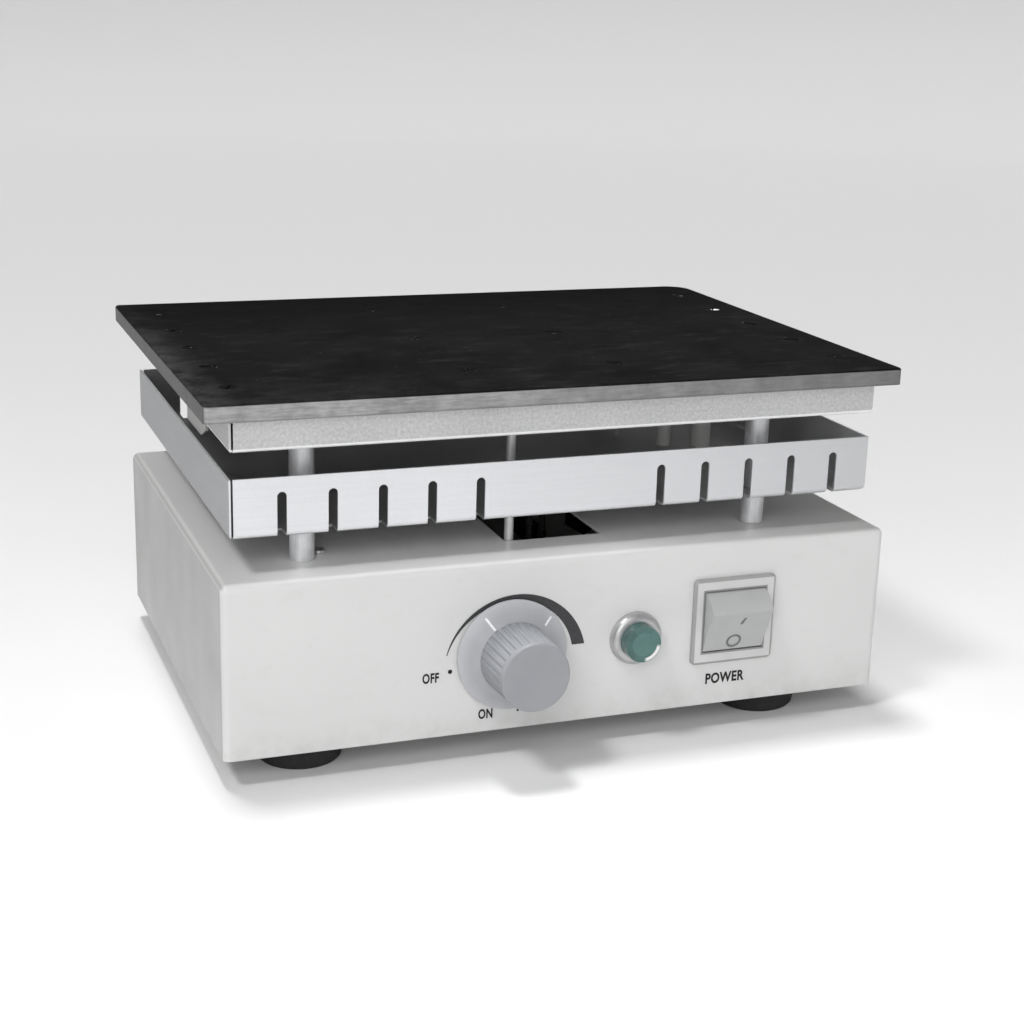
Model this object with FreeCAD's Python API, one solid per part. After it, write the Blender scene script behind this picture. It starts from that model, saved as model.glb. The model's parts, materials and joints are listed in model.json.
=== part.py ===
import FreeCAD, Part
import os
import math

os.makedirs("parts", exist_ok=True)

Vector = FreeCAD.Vector

# Axes: +Z up, front panel towards -Y, origin at bench level under the middle of the casing

# Casing, folded from painted sheet
CASING_W = 300.0
CASING_D = 218.0
CASING_H = 74.5
CASING_Z0 = 12.0
CASING_Z1 = CASING_Z0 + CASING_H
SHEET = 1.2
CASING_BEND = 3.2
FLANGE_W = 13.0
FRONT_Y = -CASING_D / 2
BACK_Y = CASING_D / 2
PANEL_IN = FRONT_Y + SHEET
BACK_IN = BACK_Y - SHEET
ROOF_IN = CASING_Z1 - SHEET

# Clearances
SLIP = 0.3
THREAD_GAP = 0.05
HOLE_GAP = 0.1
SHAFT_GAP = 0.05

# Bottom cover and its flange
COVER_T = 1.2
COVER_Z0 = CASING_Z0 + 0.2
COVER_Z1 = COVER_Z0 + COVER_T
FLANGE_Z1 = COVER_Z1 + SHEET
COVER_W = CASING_W - 2 * SHEET - 2 * SLIP
COVER_D = CASING_D - 2 * SHEET - 2 * SLIP
COVER_SCREW_R = 1.5
COVER_SCREW_INSET = 8.0
COVER_SCREW_END = 75.0
COVER_SCREW_X = [COVER_SCREW_END - CASING_W / 2, 0.0, CASING_W / 2 - COVER_SCREW_END]
COVER_SCREW_Y = [-30.0, 30.0]
COVER_HEAD_R = 2.8
COVER_HEAD_H = 1.6
DRIVE_SLOT_W = 0.7
DRIVE_SLOT_H = 0.8
COVER_VENT_X = 27.0
COVER_VENT_L = 48.0
COVER_VENT_W = 3.6
COVER_VENT_PITCH = 12.0
COVER_VENTS = 8

# Rubber feet
FOOT_INSET_L = 37.7
FOOT_INSET_R = 46.5
FOOT_INSET_Y = 27.1
FOOT_X = [FOOT_INSET_L - CASING_W / 2, CASING_W / 2 - FOOT_INSET_R]
FOOT_Y = [FOOT_INSET_Y - CASING_D / 2, CASING_D / 2 - FOOT_INSET_Y]
FOOT_R_TOP = 20.0
FOOT_R_BOTTOM = 18.0
FOOT_RECESS_R = 8.0
FOOT_RECESS_H = 6.0
FOOT_SCREW_R = 2.0
FOOT_EDGE = 1.2

# Heat-shield tray
TRAY_W = 287.8
TRAY_STEP_D = 4.1
TRAY_D = CASING_D - TRAY_STEP_D
TRAY_Y = 8.3
TRAY_Z0 = 101.9
TRAY_Z1 = 126.7
TRAY_T = 1.0
TRAY_BEND = 1.4
SEAM = 0.9
SEAM_LAP = 0.8
SLOT_W = 3.9
SLOT_TOP = 120.6
SLOT_PITCH = 20.9
SLOT_END_L = 63.3
SLOT_END_R = 59.2
SLOT_CENTRES = [SLOT_END_L - TRAY_W / 2, TRAY_W / 2 - SLOT_END_R]
SLOTS_PER_GROUP = 5
SLOT_REACH = 9.0

# Hot plate
STACK_Y = 7.5
PLATE_W = 308.5
PLATE_LAP_D = 8.0
PLATE_D = CASING_D + PLATE_LAP_D
PLATE_Z0 = 151.3
PLATE_T = 7.3
PLATE_Z1 = PLATE_Z0 + PLATE_T
PLATE_CORNER = 2.2
PLATE_CORNER_BR = 12.0
PLATE_BEVEL = 0.7
PLATE_SCREW_R = 2.0
PLATE_HEAD_R = 3.9
PLATE_HEAD_H = 1.9

# Skirt under the hot plate
SKIRT_INSET_X = 10.55
SKIRT_INSET_Y = 5.4
SKIRT_W = PLATE_W - 2 * SKIRT_INSET_X
SKIRT_D = PLATE_D - 2 * SKIRT_INSET_Y
SKIRT_H = 13.6
SKIRT_Z0 = PLATE_Z0 - SKIRT_H
SKIRT_T = 1.0
SKIRT_BEND = 1.0
SKIRT_HEM = 8.0
SKIRT_FLANGE = 10.0
RIM_SCREW_INSET = 5.7
RIM_SCREW_END = 25.6
RIM_SCREW_X = SKIRT_W / 2 - RIM_SCREW_INSET
RIM_SCREW_PITCH = (SKIRT_D / 2 - RIM_SCREW_END) / 2
RIM_SCREW_DY = [i * RIM_SCREW_PITCH for i in range(-2, 3)]

# Posts between casing, tray and plate
POST_INSET_L = 39.6
POST_INSET_R = 53.3
POST_INSET_F = 27.0
POST_INSET_B = 12.0
POST_X = [POST_INSET_L - CASING_W / 2, CASING_W / 2 - POST_INSET_R]
POST_Y = [POST_INSET_F - CASING_D / 2, CASING_D / 2 - POST_INSET_B]
POST_R = 5.2
STUD_R = 2.5
STUD_Z0 = 76.0
STUD_Z1 = PLATE_Z0 + 4.6
WASHER_T = 1.0
NUT_T = 4.0
NUT_AF = 8.0

# Heater sandwich between skirt and plate, held clear of the posts
BASE_T = 1.0
BASE_Z0 = SKIRT_Z0 + SKIRT_T
BASE_Z1 = BASE_Z0 + BASE_T
MICA_T = 4.0
MICA_Z0 = PLATE_Z0 - MICA_T
CLAMP_T = 2.0
CLAMP_Z0 = MICA_Z0 - CLAMP_T
MICA_MARGIN = 21.7
MICA_POST_GAP = 4.1
MICA_W = SKIRT_W - 2 * MICA_MARGIN
MICA_D = POST_Y[1] - POST_Y[0] - 2 * (POST_R + MICA_POST_GAP)
MICA_R = 8.0
BOARD_LAP = 6.0
BOARD_MARGIN = 11.0
MID_SCREW_X = 34.0
MID_SCREW_END = 8.0
MID_SCREW_DY = [MID_SCREW_END - MICA_D / 2, 0.0, MICA_D / 2 - MID_SCREW_END]

# Temperature sensor tube at the front
SENSOR_X = -18.6
SENSOR_BEHIND = 3.2
SENSOR_Y = POST_Y[0] + SENSOR_BEHIND
SENSOR_R = 2.0
SENSOR_Z0 = 70.0
SENSOR_Z1 = PLATE_Z0 + 3.0

# Opening in the casing top for the heater leads
LEAD_CUT_X = [-21.2, 23.8]
LEAD_CUT_LAP = 2.7
LEAD_CUT_Y = [SENSOR_Y - LEAD_CUT_LAP, -22.0]

# Lead tubes in the tray: x, y, outer radius, bore radius
LEAD_TUBES = [
    ("lead_tube_a", 106.0, -9.0, 4.6, 1.9),
    ("lead_tube_b", 89.0, -3.0, 3.3, 1.9),
]
EARTH_POST = [75.0, 21.0, 2.2]

# Heater leads: where each drops into the casing, its level under the tray and its way of the strip
WIRE_R = 1.5
LEAD_ROUTES = [
    ("heater_lead_a", 16.0, -30.0, TRAY_Z0 - 4.9, 3),
    ("heater_lead_b", 6.0, -40.0, TRAY_Z0 - 9.4, 1),
]
LEAD_TURN_Z = 52.0
LEAD_STRAIGHT = 14.0

# Angle bracket seen under the left edge of the skirt
BRACKET_Y = [-41.0, 0.0]
BRACKET_INSET = 2.3
BRACKET_X = BRACKET_INSET - SKIRT_W / 2
BRACKET_T = 1.4
BRACKET_H = 9.1
BRACKET_Z0 = SKIRT_Z0 - BRACKET_H
BRACKET_FOOT = 13.0
BRACKET_NOSE_L = 12.0
BRACKET_NOSE_H = 4.5

# Earth screw on the casing top
EARTH_SCREW = [POST_X[0] + 8.7, POST_Y[0] + 6.6]
EARTH_HEAD_R = 2.9
EARTH_HEAD_H = 1.8
EARTH_SCREW_R = 1.5
EARTH_SCREW_L = 8.0

# Rotary control
KNOB_X = -27.5
KNOB_Z = 46.2
KNOB_FRONT = -139.0
KNOB_SKIRT_R = 24.2
KNOB_BACK = FRONT_Y - 0.8
KNOB_RIM = KNOB_BACK - 1.6
KNOB_STEP = KNOB_BACK - 5.0
KNOB_BASE_R = 15.7
KNOB_CAP_R = 14.9
KNOB_EDGE = 0.8
FLUTES = 30
FLUTE_R = 0.9
FLUTE_OUT = 0.25
FLUTE_END = 2.4
KNOB_HUB_R = 7.8
KNOB_HUB_DEPTH = 5.4
KNOB_CAP_WALL = 4.0
SHAFT_R = 3.0
SHAFT_IN = 7.0
POT_R = 12.0
POT_D = 11.0
POT_TAG_W = 18.0
POT_TAG_T = 1.2
BUSH_R = 3.6
BUSH_FRONT = FRONT_Y - 5.0

# Pilot lamp
LAMP_X = 29.3
LAMP_Z = 47.3
LAMP_RING_R = 11.8
LAMP_RING_H = 4.0
LAMP_RING_ROUND = 3.0
LENS_R = 8.0
LENS_FRONT = FRONT_Y - 9.8
LAMP_BARREL_R = 7.8
LAMP_SEAT = 1.0
LENS_FACETS = 10
LENS_WALL = 1.4
LENS_TABLE_R = 5.2
LENS_SLOPE = 42.0

# Rocker switch
SWITCH_X = 75.8
SWITCH_Z = 51.3
BEZEL_W = 39.2
BEZEL_H = 39.0
BEZEL_T = 2.2
WELL_W = 29.4
WELL_H = 28.0
ROCKER_W = WELL_W - 2 * SLIP
ROCKER_FACE = 9.4
ROCKER_DISH_R = 100.0
ROCKER_DISH = 0.7
ROCKER_TILT = 24.0
PIVOT_Y = FRONT_Y + 2.0
PIVOT_R = 1.5
PIVOT_L = 1.5
WELL_LIP = 0.8
ROCKER_R = math.hypot(WELL_H / 2, PIVOT_Y - FRONT_Y + WELL_LIP) - SLIP
HOUSING_W = 33.6
HOUSING_H = 35.2
HOUSING_BACK = PIVOT_Y + ROCKER_R + 2.0

# Rear fittings
GLAND_INSET = 55.0
GLAND_X = CASING_W / 2 - GLAND_INSET
FUSE_PITCH = 40.0
FUSE_X = GLAND_X - FUSE_PITCH
REAR_Z = 36.0
GLAND_L = 30.0
GLAND_THREAD_R = 7.5
FUSE_R = 6.0
REAR_VENT_INSET = 50.0
REAR_VENT_PITCH = 9.0
REAR_VENT_W = 3.0
REAR_VENT_H = 18.0
REAR_VENT_ROWS = [30.0, 56.0]
REAR_VENTS = 9

# Control board on its pillars, and the heat sink and film capacitor on it
BOARD_INSET = 28.0
BOARD_W = 70.0
BOARD_D = 60.0
BOARD_Y0 = -52.0
BOARD_T = 1.6
BOARD_LIFT = 10.0
BOARD_X0 = BOARD_INSET - CASING_W / 2
BOARD_Z0 = COVER_Z1 + BOARD_LIFT
BOARD_Z1 = BOARD_Z0 + BOARD_T
BOARD_HOLE_INSET = 4.0
BOARD_HOLE_R = 1.6
PILLAR_AF = 5.5
SINK_W = 44.0
SINK_T = 4.0
SINK_H = 32.0
SINK_D = 16.0
SINK_FINS = 7
SINK_FIN_T = 2.0
SINK_MARGIN = [10.0, 6.0]
CAP_W = 24.0
CAP_D = 10.0
CAP_H = 14.0
CAP_PLACE = [38.0, 32.0]

# Mains terminal strip near the gland
STRIP_WAYS = 5
STRIP_WALL = 2.0
STRIP_PITCH = 11.6
STRIP_W = STRIP_WAYS * STRIP_PITCH + STRIP_WALL
STRIP_D = 22.0
STRIP_H = 9.0
STRIP_WALL_H = 7.0
STRIP_REACH = 65.0
STRIP_INSET = 51.0
STRIP_X0 = GLAND_X - STRIP_REACH
STRIP_Y0 = BACK_Y - STRIP_INSET
STRIP_SCREW_R = 2.6
STRIP_SCREW_INSET = 5.0
WIRE_HOLE_DEPTH = 8.0
WIRE_HOLE_Z = COVER_Z1 + 5.0


# General helpers

def box(x0, x1, y0, y1, z0, z1):
    return Part.makeBox(x1 - x0, y1 - y0, z1 - z0, Vector(x0, y0, z0))


def rod(x, y, z0, z1, r):
    return Part.makeCylinder(r, z1 - z0, Vector(x, y, z0), Vector(0, 0, 1))


def rod_y(x, z, y0, y1, r):
    return Part.makeCylinder(r, y1 - y0, Vector(x, y0, z), Vector(0, 1, 0))


def rod_x(y, z, x0, x1, r):
    return Part.makeCylinder(r, x1 - x0, Vector(x0, y, z), Vector(1, 0, 0))


def round_edges(shape, radius, test):
    picked = [e for e in shape.Edges if test(e)]
    return shape.makeFillet(radius, picked)


def is_upright(edge):
    b = edge.BoundBox
    return b.XLength < 1e-6 and b.YLength < 1e-6


def is_level_at(edge, z):
    b = edge.BoundBox
    return abs(b.ZMin - z) < 1e-6 and abs(b.ZMax - z) < 1e-6


def is_along_y(edge):
    b = edge.BoundBox
    return b.XLength < 1e-6 and b.ZLength < 1e-6


def plan_plate(w, d, yc, z0, z1, r):
    plate = box(-w / 2, w / 2, yc - d / 2, yc + d / 2, z0, z1)
    return round_edges(plate, r, is_upright)


def hexagon_z(x, y, z0, z1, af):
    reach = af / math.sqrt(3)
    points = []
    for i in range(7):
        a = math.radians(60 * i)
        points.append(Vector(x + reach * math.cos(a), y + reach * math.sin(a), z0))
    return Part.Face(Part.makePolygon(points)).extrude(Vector(0, 0, z1 - z0))


def hexagon_y(x, z, y0, y1, af):
    reach = af / math.sqrt(3)
    points = []
    for i in range(7):
        a = math.radians(60 * i + 30)
        points.append(Vector(x + reach * math.cos(a), y0, z + reach * math.sin(a)))
    return Part.Face(Part.makePolygon(points)).extrude(Vector(0, y1 - y0, 0))


def turned(points, origin, axis):
    # Revolve a closed profile given as (radius, distance along the axis)
    side = Vector(1, 0, 0)
    outline = [origin + side * r + axis * h for r, h in points]
    outline.append(outline[0])
    return Part.Face(Part.makePolygon(outline)).revolve(origin, axis, 360)


def bent_wire(points, radius):
    path = Part.makePolygon([Vector(*p) for p in points])
    ring = Part.Wire(Part.makeCircle(radius, Vector(*points[0]), Vector(*points[1]) - Vector(*points[0])))
    return path.makePipeShell([ring], True, False, 1)


def save(name, shape):
    shape.exportStep("parts/" + name + ".step")


# Casing

def casing_block(inset, z0):
    w = CASING_W / 2 - inset
    d = CASING_D / 2 - inset
    top = CASING_Z1 - inset
    block = box(-w, w, -d, d, z0, top)
    return round_edges(block, CASING_BEND - inset, lambda e: is_upright(e) or is_level_at(e, top))


def casing_flange():
    w = CASING_W / 2 - SHEET
    d = CASING_D / 2 - SHEET
    ring = box(-w - 0.4, w + 0.4, -d - 0.4, d + 0.4, COVER_Z1, FLANGE_Z1)
    ring = ring.cut(box(-w + FLANGE_W, w - FLANGE_W, -d + FLANGE_W, d - FLANGE_W, 0, 40))
    for sx in (-1, 1):
        for sy in (-1, 1):
            x0, x1 = sorted((sx * (w - FLANGE_W - 2), sx * (w + 3)))
            y0, y1 = sorted((sy * (d - FLANGE_W - 2), sy * (d + 3)))
            ring = ring.cut(box(x0, x1, y0, y1, 0, 40))
    return ring


def cover_screw_points():
    points = []
    for x in COVER_SCREW_X:
        for s in (-1, 1):
            points.append((x, s * (CASING_D / 2 - COVER_SCREW_INSET)))
    for y in COVER_SCREW_Y:
        for s in (-1, 1):
            points.append((s * (CASING_W / 2 - COVER_SCREW_INSET), y))
    return points


def make_casing():
    shell = casing_block(0.0, CASING_Z0).cut(casing_block(SHEET, CASING_Z0 - 5))
    shell = shell.fuse(casing_flange())
    cuts = [box(LEAD_CUT_X[0], LEAD_CUT_X[1], LEAD_CUT_Y[0], LEAD_CUT_Y[1], ROOF_IN - 1, CASING_Z1 + 1)]
    for x in POST_X:
        for y in POST_Y:
            cuts.append(rod(x, y, ROOF_IN - 1, CASING_Z1 + 1, STUD_R + 0.25))
    cuts.append(rod(SENSOR_X, SENSOR_Y, ROOF_IN - 1, CASING_Z1 + 1, SENSOR_R + SLIP))
    cuts.append(rod(EARTH_SCREW[0], EARTH_SCREW[1], ROOF_IN - 1, CASING_Z1 + 1, EARTH_SCREW_R + THREAD_GAP))
    for x, y in cover_screw_points():
        cuts.append(rod(x, y, 0, FLANGE_Z1 + 1, COVER_SCREW_R + THREAD_GAP))
    cuts.append(rod_y(KNOB_X, KNOB_Z, FRONT_Y - 1, PANEL_IN + 1, BUSH_R + 0.1))
    cuts.append(rod_y(LAMP_X, LAMP_Z, FRONT_Y - 1, PANEL_IN + 1, LAMP_BARREL_R + 0.1))
    half_w, half_h = HOUSING_W / 2 + HOLE_GAP, HOUSING_H / 2 + HOLE_GAP
    cuts.append(box(SWITCH_X - half_w, SWITCH_X + half_w, FRONT_Y - 1, PANEL_IN + 1,
                    SWITCH_Z - half_h, SWITCH_Z + half_h))
    cuts.append(rod_y(GLAND_X, REAR_Z, BACK_IN - 1, BACK_Y + 1, GLAND_THREAD_R + HOLE_GAP))
    cuts.append(rod_y(FUSE_X, REAR_Z, BACK_IN - 1, BACK_Y + 1, FUSE_R + HOLE_GAP))
    for i in range(REAR_VENTS):
        x = REAR_VENT_INSET - CASING_W / 2 + REAR_VENT_PITCH * i
        for z in REAR_VENT_ROWS:
            cuts.append(box(x - REAR_VENT_W / 2, x + REAR_VENT_W / 2, BACK_IN - 1, BACK_Y + 1,
                            z, z + REAR_VENT_H))
    return shell.cut(cuts)


def make_cover():
    plate = plan_plate(COVER_W, COVER_D, 0.0, COVER_Z0, COVER_Z1, 2.0)
    cuts = []
    for x, y in cover_screw_points():
        cuts.append(rod(x, y, 0, 30, COVER_SCREW_R + THREAD_GAP))
    for x in FOOT_X:
        for y in FOOT_Y:
            cuts.append(rod(x, y, 0, 30, FOOT_SCREW_R + THREAD_GAP))
    for i in range(COVER_VENTS):
        y = (i - (COVER_VENTS - 1) / 2) * COVER_VENT_PITCH
        for x in (-COVER_VENT_X, COVER_VENT_X):
            cuts.append(box(x - COVER_VENT_L / 2, x + COVER_VENT_L / 2,
                            y - COVER_VENT_W / 2, y + COVER_VENT_W / 2, 0, 30))
    return plate.cut(cuts)


def make_cover_screws():
    solids = []
    for x, y in cover_screw_points():
        low = COVER_Z0 - COVER_HEAD_H
        head = rod(x, y, low, COVER_Z0, COVER_HEAD_R)
        head = head.cut(box(x - COVER_HEAD_R, x + COVER_HEAD_R, y - DRIVE_SLOT_W / 2, y + DRIVE_SLOT_W / 2,
                            low - 1, low + DRIVE_SLOT_H))
        solids.append(head.fuse(rod(x, y, COVER_Z0, FLANGE_Z1 + 3, COVER_SCREW_R)))
    return Part.makeCompound(solids)


def make_foot(x, y):
    bore = FOOT_SCREW_R + SLIP
    profile = [(bore, FOOT_RECESS_H), (FOOT_RECESS_R, FOOT_RECESS_H), (FOOT_RECESS_R, 0.0),
               (FOOT_R_BOTTOM - FOOT_EDGE, 0.0), (FOOT_R_BOTTOM, FOOT_EDGE),
               (FOOT_R_TOP, COVER_Z0 - FOOT_EDGE), (FOOT_R_TOP, COVER_Z0), (bore, COVER_Z0)]
    return turned(profile, Vector(x, y, 0), Vector(0, 0, 1))


def make_foot_screws():
    solids = []
    for x in FOOT_X:
        for y in FOOT_Y:
            head = rod(x, y, FOOT_RECESS_H - 2.4, FOOT_RECESS_H, 4.0)
            solids.append(head.fuse(rod(x, y, FOOT_RECESS_H, COVER_Z1 + 6, FOOT_SCREW_R)))
    return Part.makeCompound(solids)


# Folded trays with open corner seams

def folded_pan(w, d, yc, z0, z1, t, bend, seam):
    outer = box(-w / 2, w / 2, yc - d / 2, yc + d / 2, z0, z1)
    outer = round_edges(outer, bend + t, lambda e: is_level_at(e, z0))
    inner = box(-w / 2 + t, w / 2 - t, yc - d / 2 + t, yc + d / 2 - t, z0 + t, z1 + 5)
    inner = round_edges(inner, bend, lambda e: is_level_at(e, z0 + t))
    pan = outer.cut(inner)
    # The seams open in the end walls on the left and in the side wall on the right
    reach = t + bend + SEAM_LAP
    cuts = []
    for sy in (-1, 1):
        y0, y1 = sorted((yc + sy * (d / 2 + 1), yc + sy * (d / 2 - reach)))
        cuts.append(box(t - w / 2, t + seam - w / 2, y0, y1, z0 - 1, z1 + 1))
        y0, y1 = sorted((yc + sy * (d / 2 - t), yc + sy * (d / 2 - t - seam)))
        cuts.append(box(w / 2 - reach, w / 2 + 1, y0, y1, z0 - 1, z1 + 1))
    return pan.cut(cuts)


def tray_slot(x, side):
    face = TRAY_Y + side * TRAY_D / 2
    y0, y1 = sorted((face + side, face - side * SLOT_REACH))
    r = SLOT_W / 2
    straight = box(x - r, x + r, y0, y1, TRAY_Z0 - 1, SLOT_TOP - r)
    return straight.fuse(rod_y(x, SLOT_TOP - r, y0, y1, r))


def make_tray():
    pan = folded_pan(TRAY_W, TRAY_D, TRAY_Y, TRAY_Z0, TRAY_Z1, TRAY_T, TRAY_BEND, SEAM)
    cuts = []
    for centre in SLOT_CENTRES:
        for i in range(SLOTS_PER_GROUP):
            x = centre + (i - (SLOTS_PER_GROUP - 1) / 2) * SLOT_PITCH
            cuts.append(tray_slot(x, -1))
            cuts.append(tray_slot(x, 1))
    for x in POST_X:
        for y in POST_Y:
            cuts.append(rod(x, y, TRAY_Z0 - 1, TRAY_Z0 + 3, STUD_R + 0.25))
    cuts.append(rod(SENSOR_X, SENSOR_Y, TRAY_Z0 - 1, TRAY_Z0 + 3, SENSOR_R + SLIP))
    for name, x, y, r, bore in LEAD_TUBES:
        cuts.append(rod(x, y, TRAY_Z0 - 1, TRAY_Z0 + 3, bore + 0.4))
    return pan.cut(cuts)


def make_skirt():
    top = PLATE_Z0
    pan = folded_pan(SKIRT_W, SKIRT_D, STACK_Y, SKIRT_Z0, top, SKIRT_T, SKIRT_BEND, SEAM)
    hw, hd = SKIRT_W / 2, SKIRT_D / 2
    window = box(-hw + SKIRT_HEM, hw - SKIRT_HEM, STACK_Y - hd + SKIRT_HEM, STACK_Y + hd - SKIRT_HEM,
                 SKIRT_Z0 - 1, SKIRT_Z0 + 3)
    frame = pan.cut(window)
    z0, z1 = top - SKIRT_T, top
    for sx in (-1, 1):
        x0, x1 = sorted((sx * (hw - 0.5), sx * (hw - SKIRT_FLANGE)))
        y_in = hd - SKIRT_FLANGE - 2
        frame = frame.fuse(box(x0, x1, STACK_Y - y_in, STACK_Y + y_in, z0, z1))
    for sy in (-1, 1):
        y0, y1 = sorted((STACK_Y + sy * (hd - 0.5), STACK_Y + sy * (hd - SKIRT_FLANGE)))
        x_in = hw - SKIRT_FLANGE - 2
        frame = frame.fuse(box(-x_in, x_in, y0, y1, z0, z1))
    cuts = []
    for x, y in rim_screw_points():
        cuts.append(rod(x, y, z0 - 2, z1 + 2, PLATE_SCREW_R + THREAD_GAP))
    return frame.cut(cuts)


# Hot plate and heater

def rim_screw_points():
    return [(s * RIM_SCREW_X, STACK_Y + dy) for s in (-1, 1) for dy in RIM_SCREW_DY]


def mid_screw_points():
    return [(s * MID_SCREW_X, STACK_Y + dy) for s in (-1, 1) for dy in MID_SCREW_DY]


def countersunk(x, y, z0, gap):
    r, head = PLATE_SCREW_R + gap, PLATE_HEAD_R + gap
    profile = [(0.0, z0), (r, z0), (r, PLATE_Z1 - PLATE_HEAD_H), (head, PLATE_Z1), (0.0, PLATE_Z1)]
    return turned(profile, Vector(x, y, 0), Vector(0, 0, 1))


def is_back_right(edge):
    # Upright edges at the plate's back right corner, before and after it is rounded
    b = edge.BoundBox
    far = PLATE_CORNER_BR + 1
    return is_upright(edge) and b.XMin > PLATE_W / 2 - far and b.YMin > STACK_Y + PLATE_D / 2 - far


def make_plate():
    plate = box(-PLATE_W / 2, PLATE_W / 2, STACK_Y - PLATE_D / 2, STACK_Y + PLATE_D / 2, PLATE_Z0, PLATE_Z1)
    plate = round_edges(plate, PLATE_CORNER_BR, is_back_right)
    plate = round_edges(plate, PLATE_CORNER, lambda e: is_upright(e) and not is_back_right(e))
    edges = [e for e in plate.Edges if is_level_at(e, PLATE_Z1)]
    plate = plate.makeChamfer(PLATE_BEVEL, edges)
    cuts = []
    for x, y in rim_screw_points() + mid_screw_points():
        cuts.append(countersunk(x, y, PLATE_Z0 - 1, THREAD_GAP))
    for x in POST_X:
        for y in POST_Y:
            cuts.append(rod(x, y, PLATE_Z0 - 1, STUD_Z1 + 0.4, STUD_R + THREAD_GAP))
    cuts.append(rod(SENSOR_X, SENSOR_Y, PLATE_Z0 - 1, SENSOR_Z1 + 0.3, SENSOR_R + 0.1))
    return plate.cut(cuts)


def make_plate_screws():
    solids = []
    for x, y in rim_screw_points() + mid_screw_points():
        screw = countersunk(x, y, CLAMP_Z0, 0.0)
        slot = box(x - PLATE_HEAD_R, x + PLATE_HEAD_R, y - 0.45, y + 0.45, PLATE_Z1 - 0.8, PLATE_Z1 + 1)
        turn = 35.0 + 50.0 * ((x + y) % 3)
        slot.rotate(Vector(x, y, 0), Vector(0, 0, 1), turn)
        solids.append(screw.cut(slot))
    return Part.makeCompound(solids)


def make_rim_nuts():
    solids = []
    top = PLATE_Z0 - SKIRT_T
    for x, y in rim_screw_points():
        nut = hexagon_z(x, y, top - 3.0, top, 7.0)
        solids.append(nut.cut(rod(x, y, top - 4, top + 1, PLATE_SCREW_R + THREAD_GAP)))
    return Part.makeCompound(solids)


def pass_throughs(gap):
    cuts = []
    for x in POST_X:
        for y in POST_Y:
            cuts.append(rod(x, y, BASE_Z0 - 1, PLATE_Z0 + 1, POST_R + gap))
    cuts.append(rod(SENSOR_X, SENSOR_Y, BASE_Z0 - 1, PLATE_Z0 + 1, SENSOR_R + gap))
    for name, x, y, r, bore in LEAD_TUBES:
        cuts.append(rod(x, y, BASE_Z0 - 1, PLATE_Z0 + 1, bore + gap))
    return cuts


def make_base_sheet():
    w = SKIRT_W - 2 * SKIRT_T - 2 * SKIRT_BEND - 1.0
    d = SKIRT_D - 2 * SKIRT_T - 2 * SKIRT_BEND - 1.0
    sheet = box(-w / 2, w / 2, STACK_Y - d / 2, STACK_Y + d / 2, BASE_Z0, BASE_Z1)
    return sheet.cut(pass_throughs(0.4))


def make_insulation():
    w, d = MICA_W + 2 * BOARD_LAP, SKIRT_D - 2 * BOARD_MARGIN
    board = plan_plate(w, d, STACK_Y, BASE_Z1, CLAMP_Z0, MICA_R / 2)
    return board.cut(pass_throughs(0.8))


def make_clamp_sheet():
    sheet = plan_plate(MICA_W, MICA_D, STACK_Y, CLAMP_Z0, MICA_Z0, MICA_R)
    cuts = [rod(x, y, CLAMP_Z0 - 1, MICA_Z0 + 1, PLATE_SCREW_R + THREAD_GAP) for x, y in mid_screw_points()]
    for name, x, y, r, bore in LEAD_TUBES:
        cuts.append(rod(x, y, CLAMP_Z0 - 1, MICA_Z0 + 1, 3.0))
    return sheet.cut(cuts)


def make_mica_heater():
    sheet = plan_plate(MICA_W, MICA_D, STACK_Y, MICA_Z0, PLATE_Z0, MICA_R)
    cuts = [rod(x, y, MICA_Z0 - 1, PLATE_Z0 + 1, PLATE_SCREW_R + 0.5) for x, y in mid_screw_points()]
    return sheet.cut(cuts)


# Posts, studs, sensor and leads

def make_spacer(x, y, z0, z1):
    tube = rod(x, y, z0, z1, POST_R)
    tube = tube.makeChamfer(0.4, [e for e in tube.Edges if is_level_at(e, z0) or is_level_at(e, z1)])
    return tube.cut(rod(x, y, z0 - 1, z1 + 1, STUD_R + 0.2))


def make_studs():
    return Part.makeCompound([rod(x, y, STUD_Z0, STUD_Z1, STUD_R) for x in POST_X for y in POST_Y])


def make_stud_nuts():
    solids = []
    for x in POST_X:
        for y in POST_Y:
            nut = hexagon_z(x, y, ROOF_IN - NUT_T, ROOF_IN, NUT_AF)
            nut = nut.fuse(rod(x, y, ROOF_IN - WASHER_T, ROOF_IN, 5.6))
            solids.append(nut.cut(rod(x, y, ROOF_IN - NUT_T - 1, ROOF_IN + 1, STUD_R + THREAD_GAP)))
    return Part.makeCompound(solids)


def make_sensor():
    tube = rod(SENSOR_X, SENSOR_Y, SENSOR_Z0, SENSOR_Z1, SENSOR_R)
    return round_edges(tube, 0.8, lambda e: is_level_at(e, SENSOR_Z1))


def make_lead_tube(x, y, r, bore):
    tube = rod(x, y, TRAY_Z0 + TRAY_T, BASE_Z0, r)
    return tube.cut(rod(x, y, TRAY_Z0, BASE_Z0 + 1, bore))


def make_lead(x, y, drop_x, drop_y, level, way):
    # From the heater through its tube and the casing's opening to one way of the terminal strip
    hole_x, hole_y = strip_way_x(way), STRIP_Y0
    points = [(x, y, MICA_Z0), (x, y, level), (drop_x, drop_y, level), (drop_x, drop_y, LEAD_TURN_Z)]
    points.append((hole_x, hole_y - LEAD_STRAIGHT, WIRE_HOLE_Z))
    points.append((hole_x, hole_y + WIRE_HOLE_DEPTH - 1, WIRE_HOLE_Z))
    return bent_wire(points, WIRE_R)


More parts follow.
